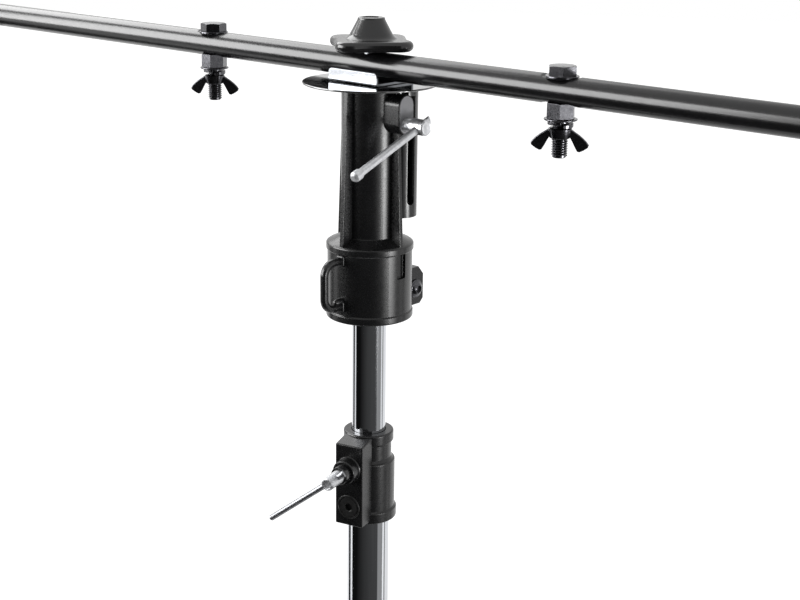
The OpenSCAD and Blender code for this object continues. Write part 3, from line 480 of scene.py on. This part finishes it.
def satin_nickel():
    """Nickel over turned steel: bright, softer than chrome, with fine turning marks."""
    return nickel("satin nickel", "#CFD0D2", "#B2B3B6")


def worn_nickel():
    """Nickel gone grey with handling: the mast clamp's bar, a mid grey all over."""
    return nickel("worn nickel", "#8C8D90", "#77787B")


def nickel(name, clean, dull):
    """Nickel plate between two greys, with turning marks."""
    made, tree, at = started(name)
    if tree:
        ended(tree, mottled(tree, at, 2.5, detail=4.0), (clean, dull), mottled(tree, at, 1.2, 0.35, 0.45),
              (mottled(tree, at, 0.6), 0.1, 0.03), {"Metallic": 1.0})
    return made


def natural_nylon():
    """Natural polyamide: a waxy off-white that lets a little light in."""
    made, tree, at = started("natural nylon")
    if tree:
        ended(tree, mottled(tree, at, 7), ("#E3E0D6", "#D6D2C5"), mottled(tree, at, 3, 0.38, 0.48),
              (mottled(tree, at, 0.6), 0.1, 0.03), {"IOR": 1.53, "Subsurface Weight": 0.08})
    return made


def turned_brass():
    """Free-cutting brass, turned: yellow metal with fine rings and a light tarnish."""
    made, tree, at = started("turned brass")
    if tree:
        ended(tree, mottled(tree, at, 2, detail=4.0), ("#D8B660", "#B8924A"), mottled(tree, at, 1, 0.2, 0.34),
              (mottled(tree, at, 0.3), 0.15, 0.02), {"Metallic": 1.0})
    return made


def foot_rubber():
    """Black natural rubber: dead matt, dusty in its pores."""
    made, tree, at = started("foot rubber")
    if tree:
        pores = mottled(tree, at, 0.9, detail=5.0)
        ended(tree, mottled(tree, at, 8, detail=5.0), ("#1B1B1B", "#2A2928"), mottled(tree, at, 3, 0.72, 0.88),
              (pores, 0.35, 0.06), {"IOR": 1.5})
    return made


# Pieces


class TBAR_OT_crossbar(Operator):
    """Round crossbar tube, pressed flat where the bolts go through"""

    bl_idname = "tbar.crossbar"
    bl_label = "Crossbar"

    def execute(self, context):
        s = context.scene.tbar_crossbar
        flat, half, fade = s.flat / MM, s.press / MM / 2, s.run_out / MM
        low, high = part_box("crossbar_tube")
        ends = (low.x / MM, high.x / MM)
        near = [side * (half + fade * i * 0.2) for side in (-1, 1) for i in range(6)]
        stations = sorted([ends[1]] + [x + n for x in BOLTS for n in near] + [-360, -60, 0, 60, 360])
        bm = bmesh.new()
        bmesh.ops.create_circle(bm, cap_ends=False, segments=96, radius=BAR_R, matrix=shift(ends[0], 0, 0) @ ALONG_X)
        rim, at = bm.edges[:], ends[0]
        for x in stations:
            out = bmesh.ops.extrude_edge_only(bm, edges=rim)["geom"]
            rim = [g for g in out if isinstance(g, bmesh.types.BMEdge)]
            bmesh.ops.translate(bm, vec=(x - at, 0, 0),
                                verts=[g for g in out if isinstance(g, bmesh.types.BMVert)])
            at = x
        for v in bm.verts:
            gap = min(1, *(max(abs(v.co.x - x) - half, 0) / fade for x in BOLTS))
            ease = gap ** 2 * (3 - 2 * gap)
            top = flat + (BAR_R - flat) * ease
            v.co.z = max(-top, min(top, v.co.z))
        bmesh.ops.recalc_face_normals(bm, faces=bm.faces)
        bmesh.ops.translate(bm, vec=(0, 0, BAR), verts=bm.verts)
        bar = piece("bar_tube", bm, "crossbar", satin_powder_coat(), ["crossbar_tube"], sharp=40)
        wall = bar.modifiers.new("wall", "SOLIDIFY")
        wall.thickness = s.wall
        wall.offset = -1
        return {"FINISHED"}


class TBAR_OT_fixture_bolts(Operator):
    """Hex bolts with a cut thread below the wing nuts"""

    bl_idname = "tbar.fixture_bolts"
    bl_label = "Fixture bolts"

    def execute(self, context):
        pitch = context.scene.tbar_crossbar.pitch / MM
        low, high = (level("fixture_bolts", i) - BAR for i in (0, 1))
        seat = level("bolt_washers", 1) - BAR
        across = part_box("fixture_bolts")[1].y * 2 / MM
        root, plain = 4.95, -24  # thread's root, and where the plain shank starts below the bar's middle
        shapes = []
        for k, x in enumerate(BOLTS):
            head = bmesh.new()
            corner = across / math.sqrt(3)
            bmesh.ops.create_cone(head, cap_ends=True, segments=6, radius1=corner, radius2=corner, depth=high - seat)
            bmesh.ops.translate(head, vec=(0, 0, (high + seat) / 2), verts=head.verts)
            dome = turned([(0, seat - 1), (across * 0.72, seat - 1), (across * 0.72, high - 1.6),
                           (across * 0.49, high), (0, high)], 64)
            head = carved(head, "INTERSECT", dome)
            core = turned([(0, low), (4.4, low), (root, low + 0.6), (root, plain), (5.9, plain + 1),
                           (5.9, seat + 0.5), (0, seat + 0.5)], 40)
            thread = moved(threaded(5.92, root, pitch, (plain - low - 0.6) / pitch - 1), shift(0, 0, low + 0.5))
            shapes.append(moved(gathered(head, core, thread), turn(BOLT_TURNS[k], "Z"), shift(x, 0, BAR)))
        piece("bolts_with_thread", gathered(*shapes), "crossbar", black_zinc_plate(),
              ["fixture_bolts"], edge=0.18, sharp=24)
        return {"FINISHED"}


class TBAR_OT_wing_nuts(Operator):
    """Cast wing nuts with two drooping wings"""

    bl_idname = "tbar.wing_nuts"
    bl_label = "Wing nuts"

    def execute(self, context):
        thick = context.scene.tbar_crossbar.wing_thickness / MM
        for k, x in enumerate(BOLTS, 1):
            top = level(f"wing_nut_{k}", 1)
            hub = turned([(6.0, 0), (7.6, 0), (8.5, -0.7), (8.3, -3.4), (7.6, -6.9), (7.0, -7.5), (6.0, -7.5)],
                         48, closed=True)
            outline = [(6.4, -1.2), (8.6, -1.3), (11, -2.9), (14, -4.8), (17, -7.2), (19.3, -9.4), (20.9, -11.6),
                       (20.3, -13.4), (17.2, -15.6), (14.4, -16.9), (12.7, -16.5), (10.9, -13.4), (8.9, -9.5),
                       (7.4, -6.9), (6.4, -6.6)]
            wings = []
            for side in (0, 180):
                wing = slab(outline, thick, 1.1, 3)
                for v in wing.verts:  # the wings thin out towards their tips
                    v.co.z *= 1.12 - 0.4 * max(0, (v.co.x - 8) / 13)
                wings.append(moved(wing, turn(90, "X"), turn(side, "Z")))
            body = carved(hub, "UNION", *wings)
            body = moved(body, turn(WING_TURNS[k - 1], "Z"), shift(x, 0, top))
            piece(f"wing_{k}", body, f"wing_{k}", black_zinc_plate(), [f"wing_nut_{k}"], sharp=38)
        return {"FINISHED"}


class TBAR_OT_knob(Operator):
    """Moulded knob: a square plate with round edges and a cone hub"""

    bl_idname = "tbar.knob"
    bl_label = "Clamp knob"

    def execute(self, context):
        s = context.scene.tbar_knob
        width, corner, thick, sag = s.width / MM, s.corner / MM, s.thickness / MM, s.hollow / MM
        foot, top = level("top_knob", 0), level("top_knob", 1) - level("top_knob", 0)
        inset = width / 2 - corner  # each corner's centre, across and along
        sweep = (inset ** 2 + sag ** 2) / (2 * sag) - corner  # radius of a hollow side, tangent to both corners
        lean = math.degrees(math.atan2(inset, corner - sag + sweep))
        side = arc((0, width / 2 - sag + sweep), sweep, 270 + lean, 270 - lean, 6)[1:-1]
        quarter = arc((inset, inset), corner, -lean, 90 + lean, 12) + side
        outline = [(Matrix.Rotation(math.radians(90 * q), 2) @ Vector(p))[:] for q in range(4) for p in quarter]
        plate = moved(slab(outline, thick, thick * 0.47, 7), shift(0, 0, thick / 2))
        hub = turned([(0, thick - 3), (23, thick - 3), (22.6, thick - 0.4),
                      *arc((22.6, thick + 6.6), 6.9, 262, 198, 8), (15.4, thick + 5.4), (10.6, top - 1.5),
                      *arc((9.5, top - 1.2), 1.2, 20, 90, 4), (7.4, top), (7.0, top - 0.6), (0, top - 0.6)])
        body = moved(carved(plate, "UNION", hub), turn(math.degrees(s.turn), "Z"), shift(0, 0, foot))
        piece("knob", body, "knob", moulded_abs(), ["top_knob"], sharp=38)
        return {"FINISHED"}


class TBAR_OT_top_plate(Operator):
    """Thin round plate on the head"""

    bl_idname = "tbar.top_plate"
    bl_label = "Top plate"

    def execute(self, context):
        low, high = level("top_disc", 0), level("top_disc", 1)
        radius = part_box("top_disc")[1].x / MM
        disc = turned([(5.92, low), (radius - 0.4, low), *arc((radius - 0.6, low + 0.6), 0.6, -60, 0, 3),
                       *arc((radius - 0.6, high - 0.6), 0.6, 0, 90, 4), (5.92, high)], 160, closed=True)
        piece("top_plate", disc, "head", gloss_enamel_plate(), ["top_disc"], sharp=50)
        return {"FINISHED"}


class TBAR_OT_head_casting(Operator):
    """Head casting: finned sleeve, clamp boss, split collar and ears"""

    bl_idname = "tbar.head_casting"
    bl_label = "Head casting"

    def execute(self, context):
        s = context.scene.tbar_head
        fin, collar, lip, wide, split = s.fin / MM, s.collar / MM, s.lip / MM, s.boss / MM, s.split / MM
        top, foot = level("head_casting", 1), level("head_casting", 0)
        crown = foot + 62  # the collar's top
        ledge = crown + 4.8
        roof = level("thrust_washer", 1) + 0.3
        out = collar + lip
        shell = turned([
            (5.95, top), (22.6, top), (23, top - 0.4), (23, ledge + 0.8), (23.6, ledge), (collar - 3.2, crown + 1.2),
            (collar - 1.0, crown + 0.5), *arc((out - 1.6, crown - 1.7), 1.6, 70, 0, 5),
            *arc((out - 0.7, crown - 5.3), 0.7, 0, -80, 4), (collar, crown - 6.6), (collar, foot + 6.6),
            *arc((out - 0.7, foot + 5.3), 0.7, 80, 0, 4), *arc((out - 1.4, foot + 1.4), 1.4, 0, -90, 5),
            (29.5, foot), (29.5, foot + 53), (22, foot + 53), (22, foot), (17.5, foot), (17.5, roof), (5.95, roof)],
            144, closed=True)
        inner = 18.5  # fins and boss start inside the sleeve's wall
        fins = []
        for a in range(4):
            blade = slab([(inner, crown - 2), (33.6, crown - 2), (33.6, crown), (28.5, top), (inner, top)],
                         fin, 0.45, 2)
            fins.append(moved(blade, turn(90, "X"), turn(90 * a, "Z")))
        webs = [moved(block((9, 4, 53.2), (25.75, 0, foot + 26.9)), turn(a, "Z")) for a in (45, 135, 225, 315)]
        low, high = top - 36 + wide / 2, top - 5 - wide / 2
        reach = 37  # the boss's face
        deep = reach - inner
        pill = slab(arc((low, 0), wide / 2, 90, 270, 16) + arc((high, 0), wide / 2, -90, 90, 16), deep)
        soften(pill, [e for e in pill.edges if all(v.co.z > deep / 2 - 1e-4 for v in e.verts)], 1.1, 4)
        pill = moved(pill, turn(-90, "Y"), shift(inner + deep / 2, 0, 0))
        for v in pill.verts:  # the rounded rim lay on the sleeve's side
            v.co.x = 2 * (inner + deep / 2) - v.co.x
        bmesh.ops.reverse_faces(pill, faces=pill.faces)
        ear_foot = foot + 1
        ears = slab([(collar - 3, ear_foot), (49, ear_foot), (53, ear_foot + 4), (53, ear_foot + 25),
                     (47, ear_foot + 32), (collar - 3, ear_foot + 32)], 24, 0.8, 3)
        ears = moved(ears, turn(90, "X"), turn(90, "Z"))
        body = carved(shell, "UNION", *fins, *webs, pill, ears)
        recess = block((6, 9.5, 20), (collar, 0, crown - 6 - 10), 0.8, 2)
        gap = block((split, 60, 40), (0, 30, foot + 17))
        bore = moved(turned([(0, 0), (5.3, 0), (5.3, 25), (0, 25)], 40), ALONG_X, shift(15, 0, HEAD_SCREW_Z))
        hole = turned([(0, -16), (4.2, -16), (4.2, 16), (0, 16)], 32)
        hole = moved(hole, ALONG_X, shift(0, 42.5, ear_foot + 14.08))
        body = carved(body, "DIFFERENCE", recess, gap, bore, hole)
        obj = piece("head_body", body, "head", [casting_enamel(), raw_casting_face()],
                    ["head_casting"], sharp=30)
        for f in obj.data.polygons:
            if abs(f.center.x - reach * MM) < 1e-5 and f.normal.x > 0.99:
                f.material_index = 1
        return {"FINISHED"}


class TBAR_OT_safety_eyelet(Operator):
    """Cast loop on the collar for a safety cable"""

    bl_idname = "tbar.safety_eyelet"
    bl_label = "Safety eyelet"

    def execute(self, context):
        low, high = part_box("safety_eyelet")
        far, foot, top = low.y / MM, low.z / MM, high.z / MM
        collar, bar, corner = -33.6, 6.0, 9.5  # the loop's foot on the collar, its thickness and its bends
        mid = bar / 2
        bm = bmesh.new()
        path = [(collar, top - mid)] + arc((far + corner + mid, top - mid - corner), corner, 90, 180, 8) \
            + arc((far + corner + mid, foot + mid + corner), corner, 180, 270, 8) + [(collar, foot + mid)]
        rings = []
        for i, (y, z) in enumerate(path):
            before, after = path[max(i - 1, 0)], path[min(i + 1, len(path) - 1)]
            along = math.atan2(after[1] - before[1], after[0] - before[0])
            ring = bmesh.ops.create_circle(bm, cap_ends=False, segments=20, radius=mid * 0.99)["verts"]
            for v in ring:  # a round bar, a little flattened on its four sides
                squareness = 1 + 0.1 * abs(math.sin(2 * math.atan2(v.co.y, v.co.x)))
                v.co.x = max(-mid, min(mid, v.co.x * squareness))
                v.co.y = max(-mid, min(mid, v.co.y * squareness))
            place = shift(0, y, z) @ Matrix.Rotation(along, 4, "X") @ turn(90, "X")
            bmesh.ops.transform(bm, matrix=place, verts=ring)
            rings.append([e for e in bm.edges if all(v in ring for v in e.verts)])
        for a, b in zip(rings, rings[1:]):
            bmesh.ops.bridge_loops(bm, edges=a + b)
        bmesh.ops.holes_fill(bm, edges=[e for e in bm.edges if e.is_boundary])
        bmesh.ops.recalc_face_normals(bm, faces=bm.faces)
        pads = [block((7.5, 3.4, 8.5), (0, collar - 0.2, z), 1.2, 3) for z in (top - mid, foot + mid)]
        pip = turned([(0, 0), (3.1, 0), (2.9, 5.5), (2.2, 8.2), (1.2, 8.8), (0, 9)], 24)
        pip = moved(pip, turn(90, "X"), shift(0, collar + 1, foot + bar + 1.2))
        piece("cable_eyelet", gathered(bm, *pads, pip), "head", casting_enamel(), ["safety_eyelet"],
              sharp=50)
        return {"FINISHED"}


class TBAR_OT_screws_and_bars(Operator):
    """Cross-drilled clamp screws with their sliding bars"""

    bl_idname = "tbar.screws_and_bars"
    bl_label = "Clamp screws and bars"

    def screw(self, start, neck, head, end, radius, pin, droop, pin_r):
        """A screw along X with a thread up to its neck, and the hole for its bar."""
        shank = turned([(0, start), (4.3, start), (4.5, start + 0.4), (4.5, neck), (4.7, neck + 0.3), (4.7, head),
                        (0, head)], 40)
        thread = moved(threaded(5, 4.5, 1.5, (neck - start) / 1.5 - 1.4), shift(0, 0, start + 0.4))
        knob = turned([(0, head), (radius - 0.7, head), (radius, head + 0.7), (radius, end - 1.1),
                       (radius - 1.0, end - 0.1), (radius - 1.7, end), (radius - 2.2, end - 0.25),
                       (0, end - 0.25)], 64)
        hole = turned([(0, -12), (pin_r, -12), (pin_r, 12), (0, 12)], 32)
        hole = moved(hole, turn(90 + droop, "X"), ALONG_X.inverted() @ shift(pin, 0, 0))
        knob = carved(knob, "DIFFERENCE", hole)
        return moved(gathered(shank, thread, knob), ALONG_X)

    def bar(self, radius, long, short, capped):
        """A bar along Z: long arm up, short arm with a flattened end down."""
        end = [(radius, long - 0.9), (radius - 0.7, long - 0.1), (0, long - 0.1)]
        rod = turned([(0, -short), (radius, -short), (radius, -short + 2.2), *end], 48)
        for v in rod.verts:
            if v.co.z < -short + 0.1:
                v.co.x *= 0.42
                v.co.y *= 1.12
        if not capped:
            return rod
        cap = turned([(radius - 0.2, long - 8.6), (radius + 0.5, long - 8.6), (radius + 1.1, long - 7.8),
                      (radius + 1.1, long - 2.2), (radius + 0.3, long - 1.1), (0, long - 1.0)], 12)
        return gathered(rod, cap)

    def execute(self, context):
        steel = satin_nickel()
        low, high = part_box("head_screw")
        start, end = low.x / MM, high.x / MM
        pin, droop = end - 7, 21  # the bar's place on the screw, and the degrees it leans
        screw = moved(self.screw(start, end - 14.4, end - 14, end, 6.25, pin, droop, 3.2), shift(0, 0, HEAD_SCREW_Z))
        piece("head_screw_steel", screw, "head_screw", steel, ["head_screw"], sharp=34)
        bar = moved(self.bar(3, 80, 11.8, True), turn(90 + droop, "X"), shift(pin, 0, HEAD_SCREW_Z))
        piece("head_bar_steel", bar, "head_bar", steel, ["head_tommy_bar"], sharp=34)

        place, around = shift(0, 0, CLAMP_SCREW_Z), turn(CLAMP_TURN, "Z")
        pin, droop = 58.6, 38
        screw = moved(self.screw(22.5, 50.8, 51, 70, 5.5, pin, droop, 2.6), place, around)
        piece("clamp_screw_steel", screw, "clamp_screw", steel, ["clamp_screw"], sharp=34)
        sleeve = turned([(5.1, 43.8), (6.9, 43.8), (7.4, 44.3), (7.4, 50.2), (6.9, 50.8), (5.6, 50.9), (5.1, 50.4)],
                        64, closed=True)
        piece("clamp_screw_sleeve", moved(sleeve, ALONG_X, place, around), "clamp_screw",
              moulded_abs(), sharp=34)
        bar = moved(self.bar(2.5, 76, 11.8, False), turn(90 + droop, "X"), shift(pin, 0, CLAMP_SCREW_Z), around)
        piece("clamp_bar_steel", bar, "clamp_bar", worn_nickel(), ["clamp_tommy_bar"], sharp=34)
        return {"FINISHED"}


class TBAR_OT_mast_tubes(Operator):
    """Chromed upper and lower mast tubes"""

    bl_idname = "tbar.mast_tubes"
    bl_label = "Mast tubes"

    def execute(self, context):
        chrome = chrome_plate()
        for name, cad, body in (("upper_tube", "upper_mast_tube", "upper_mast"),
                                ("lower_tube", "lower_mast_tube", "base")):
            low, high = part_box(cad)
            r, z0, z1 = high.x / MM, low.z / MM, high.z / MM
            tube = turned([(r - 1.5, z0), (r - 0.4, z0), (r, z0 + 0.4), (r, z1 - 0.4), (r - 0.4, z1), (r - 1.5, z1)],
                          128, closed=True)
            piece(name, tube, body, chrome, [cad])
        return {"FINISHED"}


class TBAR_OT_mast_clamp(Operator):
    """Mast clamp: a lipped barrel with a flat-faced clamp block"""

    bl_idname = "tbar.mast_clamp"
    bl_label = "Mast clamp"

    def execute(self, context):
        foot, top = level("mast_clamp", 0), level("mast_clamp", 1)
        seat = level("mast_bush", 0)
        body = turned([
            (0, top), *arc((19.3, top - 1.4), 1.4, 90, 0, 5), *arc((19.9, top - 8.2), 0.8, 0, -70, 4),
            (19, top - 10.2), (19, top - 22.6), *arc((20.4, top - 26.4), 1.5, 90, 0, 5), (21.9, foot + 10.2),
            *arc((22.5, foot + 8.2), 1.0, 80, 0, 4), *arc((22.3, foot + 1.2), 1.2, 0, -90, 4), (0, foot)], 144)
        side = slab([(16.9, foot + 2.5), (34, foot + 2.5), (34, top - 4), (16.9, top - 1)], 25)
        side = moved(side, turn(90, "X"))
        soften(side, side.edges[:], 1.1, 4)
        screw, plug = shift(0, 0, CLAMP_SCREW_Z), shift(0, 0, foot + 19)
        boss = turned([(0, 30), (10, 30), (10, 33.9), (10.9, 33.9), (10.3, 34.7), (10, 35.6), (10, 42.6), (9.5, 43.3),
                       (9.0, 43.5), (0, 43.5)], 72)
        shaft = turned([(0, foot - 1), (17.5, foot - 1), (17.5, seat), (16.4, seat), (16.4, top - 3), (14.5, top - 3),
                        (14.5, top + 1), (0, top + 1)])
        bore = moved(turned([(0, 12), (5.3, 12), (5.3, 52), (0, 52)], 40), ALONG_X, screw)
        pocket = moved(turned([(0, 28), (10.5, 28), (10.5, 36), (0, 36)], 64), ALONG_X, plug)
        body = carved(body, "UNION", side, moved(boss, ALONG_X, screw))
        body = moved(carved(body, "DIFFERENCE", shaft, bore, pocket), turn(CLAMP_TURN, "Z"))
        piece("clamp_body", body, "base", casting_enamel(), ["mast_clamp"], sharp=30)
        face = turned([(0, 28), (10.45, 28), (10.45, 34.4), (10.1, 34.8), (9.4, 34.8), (9.0, 34.0), (8.2, 34.0),
                       (7.9, 34.5), (3.6, 34.5), (3.3, 34.2), (3.3, 31), (0, 31)], 72)
        piece("clamp_face_plug", moved(face, ALONG_X, plug, turn(CLAMP_TURN, "Z")), "base",
              matt_polypropylene(), ["clamp_plug"], sharp=30)
        return {"FINISHED"}


class TBAR_OT_collar_bolt(Operator):
    """Button-head bolt and nut through the collar's ears"""

    bl_idname = "tbar.collar_bolt"
    bl_label = "Collar bolt"

    def execute(self, context):
        low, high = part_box("collar_bolt")
        y, z = (low.y + high.y) / 2 / MM, (low.z + high.z) / 2 / MM
        head = turned([(0, 12), (7.6, 12), (7.6, 13.3), (6.6, 13.6), (6.5, 14.2), *arc((0, 9.6), 7.6, 38, 62, 5),
                       (2.9, 16.4), (2.9, 14.6), (0, 14.4)], 48)
        shank = turned([(0, -19.5), (3.6, -19.5), (4, -19), (4, 12.5), (0, 12.5)], 32)
        nut = bmesh.new()
        bmesh.ops.create_cone(nut, cap_ends=True, segments=6, radius1=7.4, radius2=7.4, depth=6.4)
        bmesh.ops.translate(nut, vec=(0, 0, -15.2), verts=nut.verts)
        piece("ear_bolt", moved(gathered(head, shank, nut), ALONG_X, shift(0, y, z)), "head",
              black_zinc_plate(), ["collar_bolt"], edge=0.2, sharp=30)
        return {"FINISHED"}


class TBAR_OT_finishes(Operator):
    """Gives every CAD node that stays its finish"""

    bl_idname = "tbar.finishes"
    bl_label = "Finishes of the other parts"

    def execute(self, context):
        finish = {
            "bar_paint": satin_powder_coat, "cast_paint": casting_enamel, "disc_black": gloss_enamel_plate,
            "knob_plastic": moulded_abs, "black_plastic": matt_polypropylene, "black_zinc": black_zinc_plate,
            "bright_zinc": bright_zinc_plate, "chrome": chrome_plate, "nylon": natural_nylon, "brass": turned_brass,
            "rubber": foot_rubber,
        }
        slots = {p["node"]: p["material_slot"] for p in CAD["record"]["subparts"]}
        for name, obj in CAD["nodes"].items():
            coat = finish[slots[name]]()
            for s in obj.material_slots:
                s.material = coat
            if not obj.hide_render:
                weld = obj.modifiers.new("merged corners", "WELD")
                weld.merge_threshold = 1e-6
                soft = obj.modifiers.new("rounded edges", "BEVEL")
                soft.width = 0.3 * MM
                soft.segments = 2
                soft.limit_method = "ANGLE"
                soft.angle_limit = math.radians(32)
                soft.harden_normals = True
                level_faces(obj)
        return {"FINISHED"}


# Studio


class TBAR_OT_studio(Operator):
    """White floor and surround, two lamps, cards that only reflections see, and the camera"""

    bl_idname = "tbar.studio"
    bl_label = "Studio"

    def lamp(self, name, power, size, place, target):
        """A rectangular lamp that the camera doesn't see."""
        data = bpy.data.lights.new(name, "AREA")
        data.shape = "RECTANGLE"
        data.size, data.size_y = size
        data.energy = power
        obj = bpy.data.objects.new(name, data)
        bpy.context.scene.collection.objects.link(obj)
        obj.location = place
        obj.rotation_mode = "QUATERNION"
        obj.rotation_quaternion = (Vector(target) - Vector(place)).to_track_quat("-Z", "Y")
        obj.visible_camera = False
        return obj

    def card(self, name, coat, glow, spans):
        """A curved card that only reflections see. A span is two azimuths and a profile of radius and height."""
        node(coat.node_tree, "ShaderNodeOutputMaterial", None, {"Surface": glow.outputs[0]})
        bm = bmesh.new()
        for first, last, profile in spans:
            start = Matrix.Rotation(math.radians(first), 3, "Z")
            verts = [bm.verts.new(start @ Vector((0, -r, z))) for r, z in profile]
            edges = [bm.edges.new(p) for p in zip(verts, verts[1:])]
            bmesh.ops.spin(bm, geom=verts + edges, cent=(0, 0, 0), axis=(0, 0, 1), angle=math.radians(last - first),
                           steps=int((last - first) / 3))
        obj = linked(name, bm)
        obj.data.materials.append(coat)
        obj.visible_camera = obj.visible_diffuse = obj.visible_shadow = obj.visible_transmission = False

    def background_ray(self, tree):
        """1 on the rays that should see the plain white surround."""
        path = node(tree, "ShaderNodeLightPath").outputs
        seen = node(tree, "ShaderNodeMath", {"operation": "MAXIMUM"},
                    {0: path["Is Camera Ray"], 1: path["Is Glossy Ray"]})
        return node(tree, "ShaderNodeMath", {"operation": "MAXIMUM"},
                    {0: seen.outputs[0], 1: path["Is Transmission Ray"]}).outputs[0]

    def execute(self, context):
        s = context.scene.tbar_studio
        scene = context.scene
        scene.view_settings.view_transform = "Standard"
        world = bpy.data.worlds.new("white surround")
        scene.world = world
        world.use_nodes = True
        tree = world.node_tree
        tree.nodes.clear()
        even = node(tree, "ShaderNodeBackground", {"Color": WHITE, "Strength": s.sky})
        white = node(tree, "ShaderNodeBackground", {"Color": WHITE, "Strength": 1.0})
        mix = node(tree, "ShaderNodeMixShader", None,
                   {0: self.background_ray(tree), 1: even.outputs[0], 2: white.outputs[0]})
        node(tree, "ShaderNodeOutputWorld", None, {"Surface": mix.outputs[0]})

        paper, tree, at = fresh("white floor")
        matt = node(tree, "ShaderNodeBsdfDiffuse", {"Color": (0.86, 0.86, 0.86, 1)})
        far = node(tree, "ShaderNodeVectorMath", {"operation": "LENGTH"}, {"Vector": at})
        rise = node(tree, "ShaderNodeMapRange", {"From Min": 0.7, "From Max": 2.4, "To Min": 0.3, "To Max": 0.8},
                    {"Value": far.outputs["Value"]})
        glow = node(tree, "ShaderNodeEmission", {"Color": WHITE}, {"Strength": rise.outputs["Result"]})
        lit = node(tree, "ShaderNodeAddShader", None, {0: matt.outputs[0], 1: glow.outputs[0]})
        mix = node(tree, "ShaderNodeMixShader", None,
                   {0: self.background_ray(tree), 1: matt.outputs[0], 2: lit.outputs[0]})
        node(tree, "ShaderNodeOutputMaterial", None, {"Surface": mix.outputs[0]})
        disc = bmesh.new()
        bmesh.ops.create_circle(disc, cap_ends=True, segments=96, radius=14)
        floor = linked("floor", disc)
        floor.location.z = CAD_BOX[0].z - 0.0002
        floor.data.materials.append(paper)

        # the dark side of the studio: two low cards at the left, a tall one in the middle, grey ones at the right
        dark, tree, at = fresh("dark side of the studio")
        place = node(tree, "ShaderNodeSeparateXYZ", None, {"Vector": at}).outputs
        across = node(tree, "ShaderNodeMapRange",
                      {"From Min": -0.6, "From Max": 1.7, "To Min": 0.008, "To Max": 0.09}, {"Value": place["X"]})
        right = node(tree, "ShaderNodeMapRange", {"From Min": 0.1, "From Max": 0.26, "To Min": 0.0, "To Max": 0.42},
                     {"Value": place["Y"]})
        both = node(tree, "ShaderNodeMath", {"operation": "MAXIMUM"},
                    {0: across.outputs["Result"], 1: right.outputs["Result"]})
        glow = node(tree, "ShaderNodeEmission", {"Color": WHITE}, {"Strength": both.outputs[0]})
        foot = ((0.5, 0.01), (1.2, 0.08), (1.7, 0.3))
        self.card("dark_card", dark, glow, (
            (-90, -70, (*foot, (1.7, 0.9))), (-55, 0, (*foot, (1.7, 1.18))), (0, 66, (*foot, (1.7, 2.4))),
            (66, 130, (*foot, (1.7, 0.9))), (142, 152, (*foot, (1.7, 1.3)))))

        # the softbox draws the long highlight on the bar, and the back light the one on the knob and the castings
        bright, tree, _ = fresh("softbox")
        glow = node(tree, "ShaderNodeEmission", {"Color": WHITE, "Strength": s.softbox})
        self.card("softbox", bright, glow, ((-66, -22, ((2.6, 1.12), (2.6, 2.86))),))
        behind, tree, at = fresh("light behind the bar")
        place = node(tree, "ShaderNodeSeparateXYZ", None, {"Vector": at}).outputs
        fall = node(tree, "ShaderNodeMapRange",
                    {"From Min": -0.35, "From Max": 1.6, "To Min": s.back, "To Max": s.back * 0.18},
                    {"Value": place["Y"]})
        glow = node(tree, "ShaderNodeEmission", {"Color": WHITE}, {"Strength": fall.outputs["Result"]})
        self.card("back_light", behind, glow, ((-146, -80, ((2.0, 2.1), (2.0, 3.9))),))

        aim = (0.0, 0.0, BAR * MM)
        self.lamp("long_light", s.key, (1.7, 1.5), (-1.75, -1.95, 1.68), aim).visible_glossy = False
        self.lamp("side_light", s.side, (0.8, 0.63), (2.5, 0.35, 0.735), (0.0, 0.0, 0.735))

        lens = bpy.data.cameras.new("camera")
        lens.sensor_width = 36
        lens.lens = s.lens
        lens.clip_start, lens.clip_end = 0.05, 60
        camera = bpy.data.objects.new("camera", lens)
        scene.collection.objects.link(camera)
        camera.matrix_world = (Matrix.Translation(s.place) @ Matrix.Rotation(s.azimuth, 4, "Z")
                               @ Matrix.Rotation(math.pi / 2 - s.pitch, 4, "X") @ Matrix.Rotation(s.roll, 4, "Z"))
        scene.camera = camera
        return {"FINISHED"}


# Panel and registration

PIECES = (TBAR_OT_studio, TBAR_OT_crossbar, TBAR_OT_fixture_bolts, TBAR_OT_wing_nuts, TBAR_OT_knob,
          TBAR_OT_top_plate, TBAR_OT_head_casting, TBAR_OT_safety_eyelet, TBAR_OT_collar_bolt,
          TBAR_OT_screws_and_bars, TBAR_OT_mast_tubes, TBAR_OT_mast_clamp, TBAR_OT_finishes)


class TBAR_PT_stand(Panel):
    """Lists the stand's pieces and the studio"""

    bl_label = "T-bar stand"
    bl_space_type = "VIEW_3D"
    bl_region_type = "UI"
    bl_category = "T-bar stand"

    def draw(self, context):
        for group in GROUPS:
            settings = getattr(context.scene, group)
            box = self.layout.box()
            for name in settings.__annotations__:
                box.prop(settings, name)
        for operator in PIECES:
            self.layout.operator(operator.bl_idname)


GROUPS = {"tbar_crossbar": CrossbarSizes, "tbar_knob": KnobSizes, "tbar_head": HeadSizes,
          "tbar_finish": Finishes, "tbar_studio": StudioSettings}
CLASSES = (*GROUPS.values(), *PIECES, TBAR_PT_stand)


def register():
    for cls in CLASSES:
        bpy.utils.register_class(cls)
    for name, cls in GROUPS.items():
        setattr(bpy.types.Scene, name, PointerProperty(type=cls))


def unregister():
    for name in GROUPS:
        delattr(bpy.types.Scene, name)
    for cls in reversed(CLASSES):
        bpy.utils.unregister_class(cls)


def main():
    register()
    for operator in PIECES:
        group, name = operator.bl_idname.split(".")
        getattr(getattr(bpy.ops, group), name)()


if __name__ == "__main__":
    main()
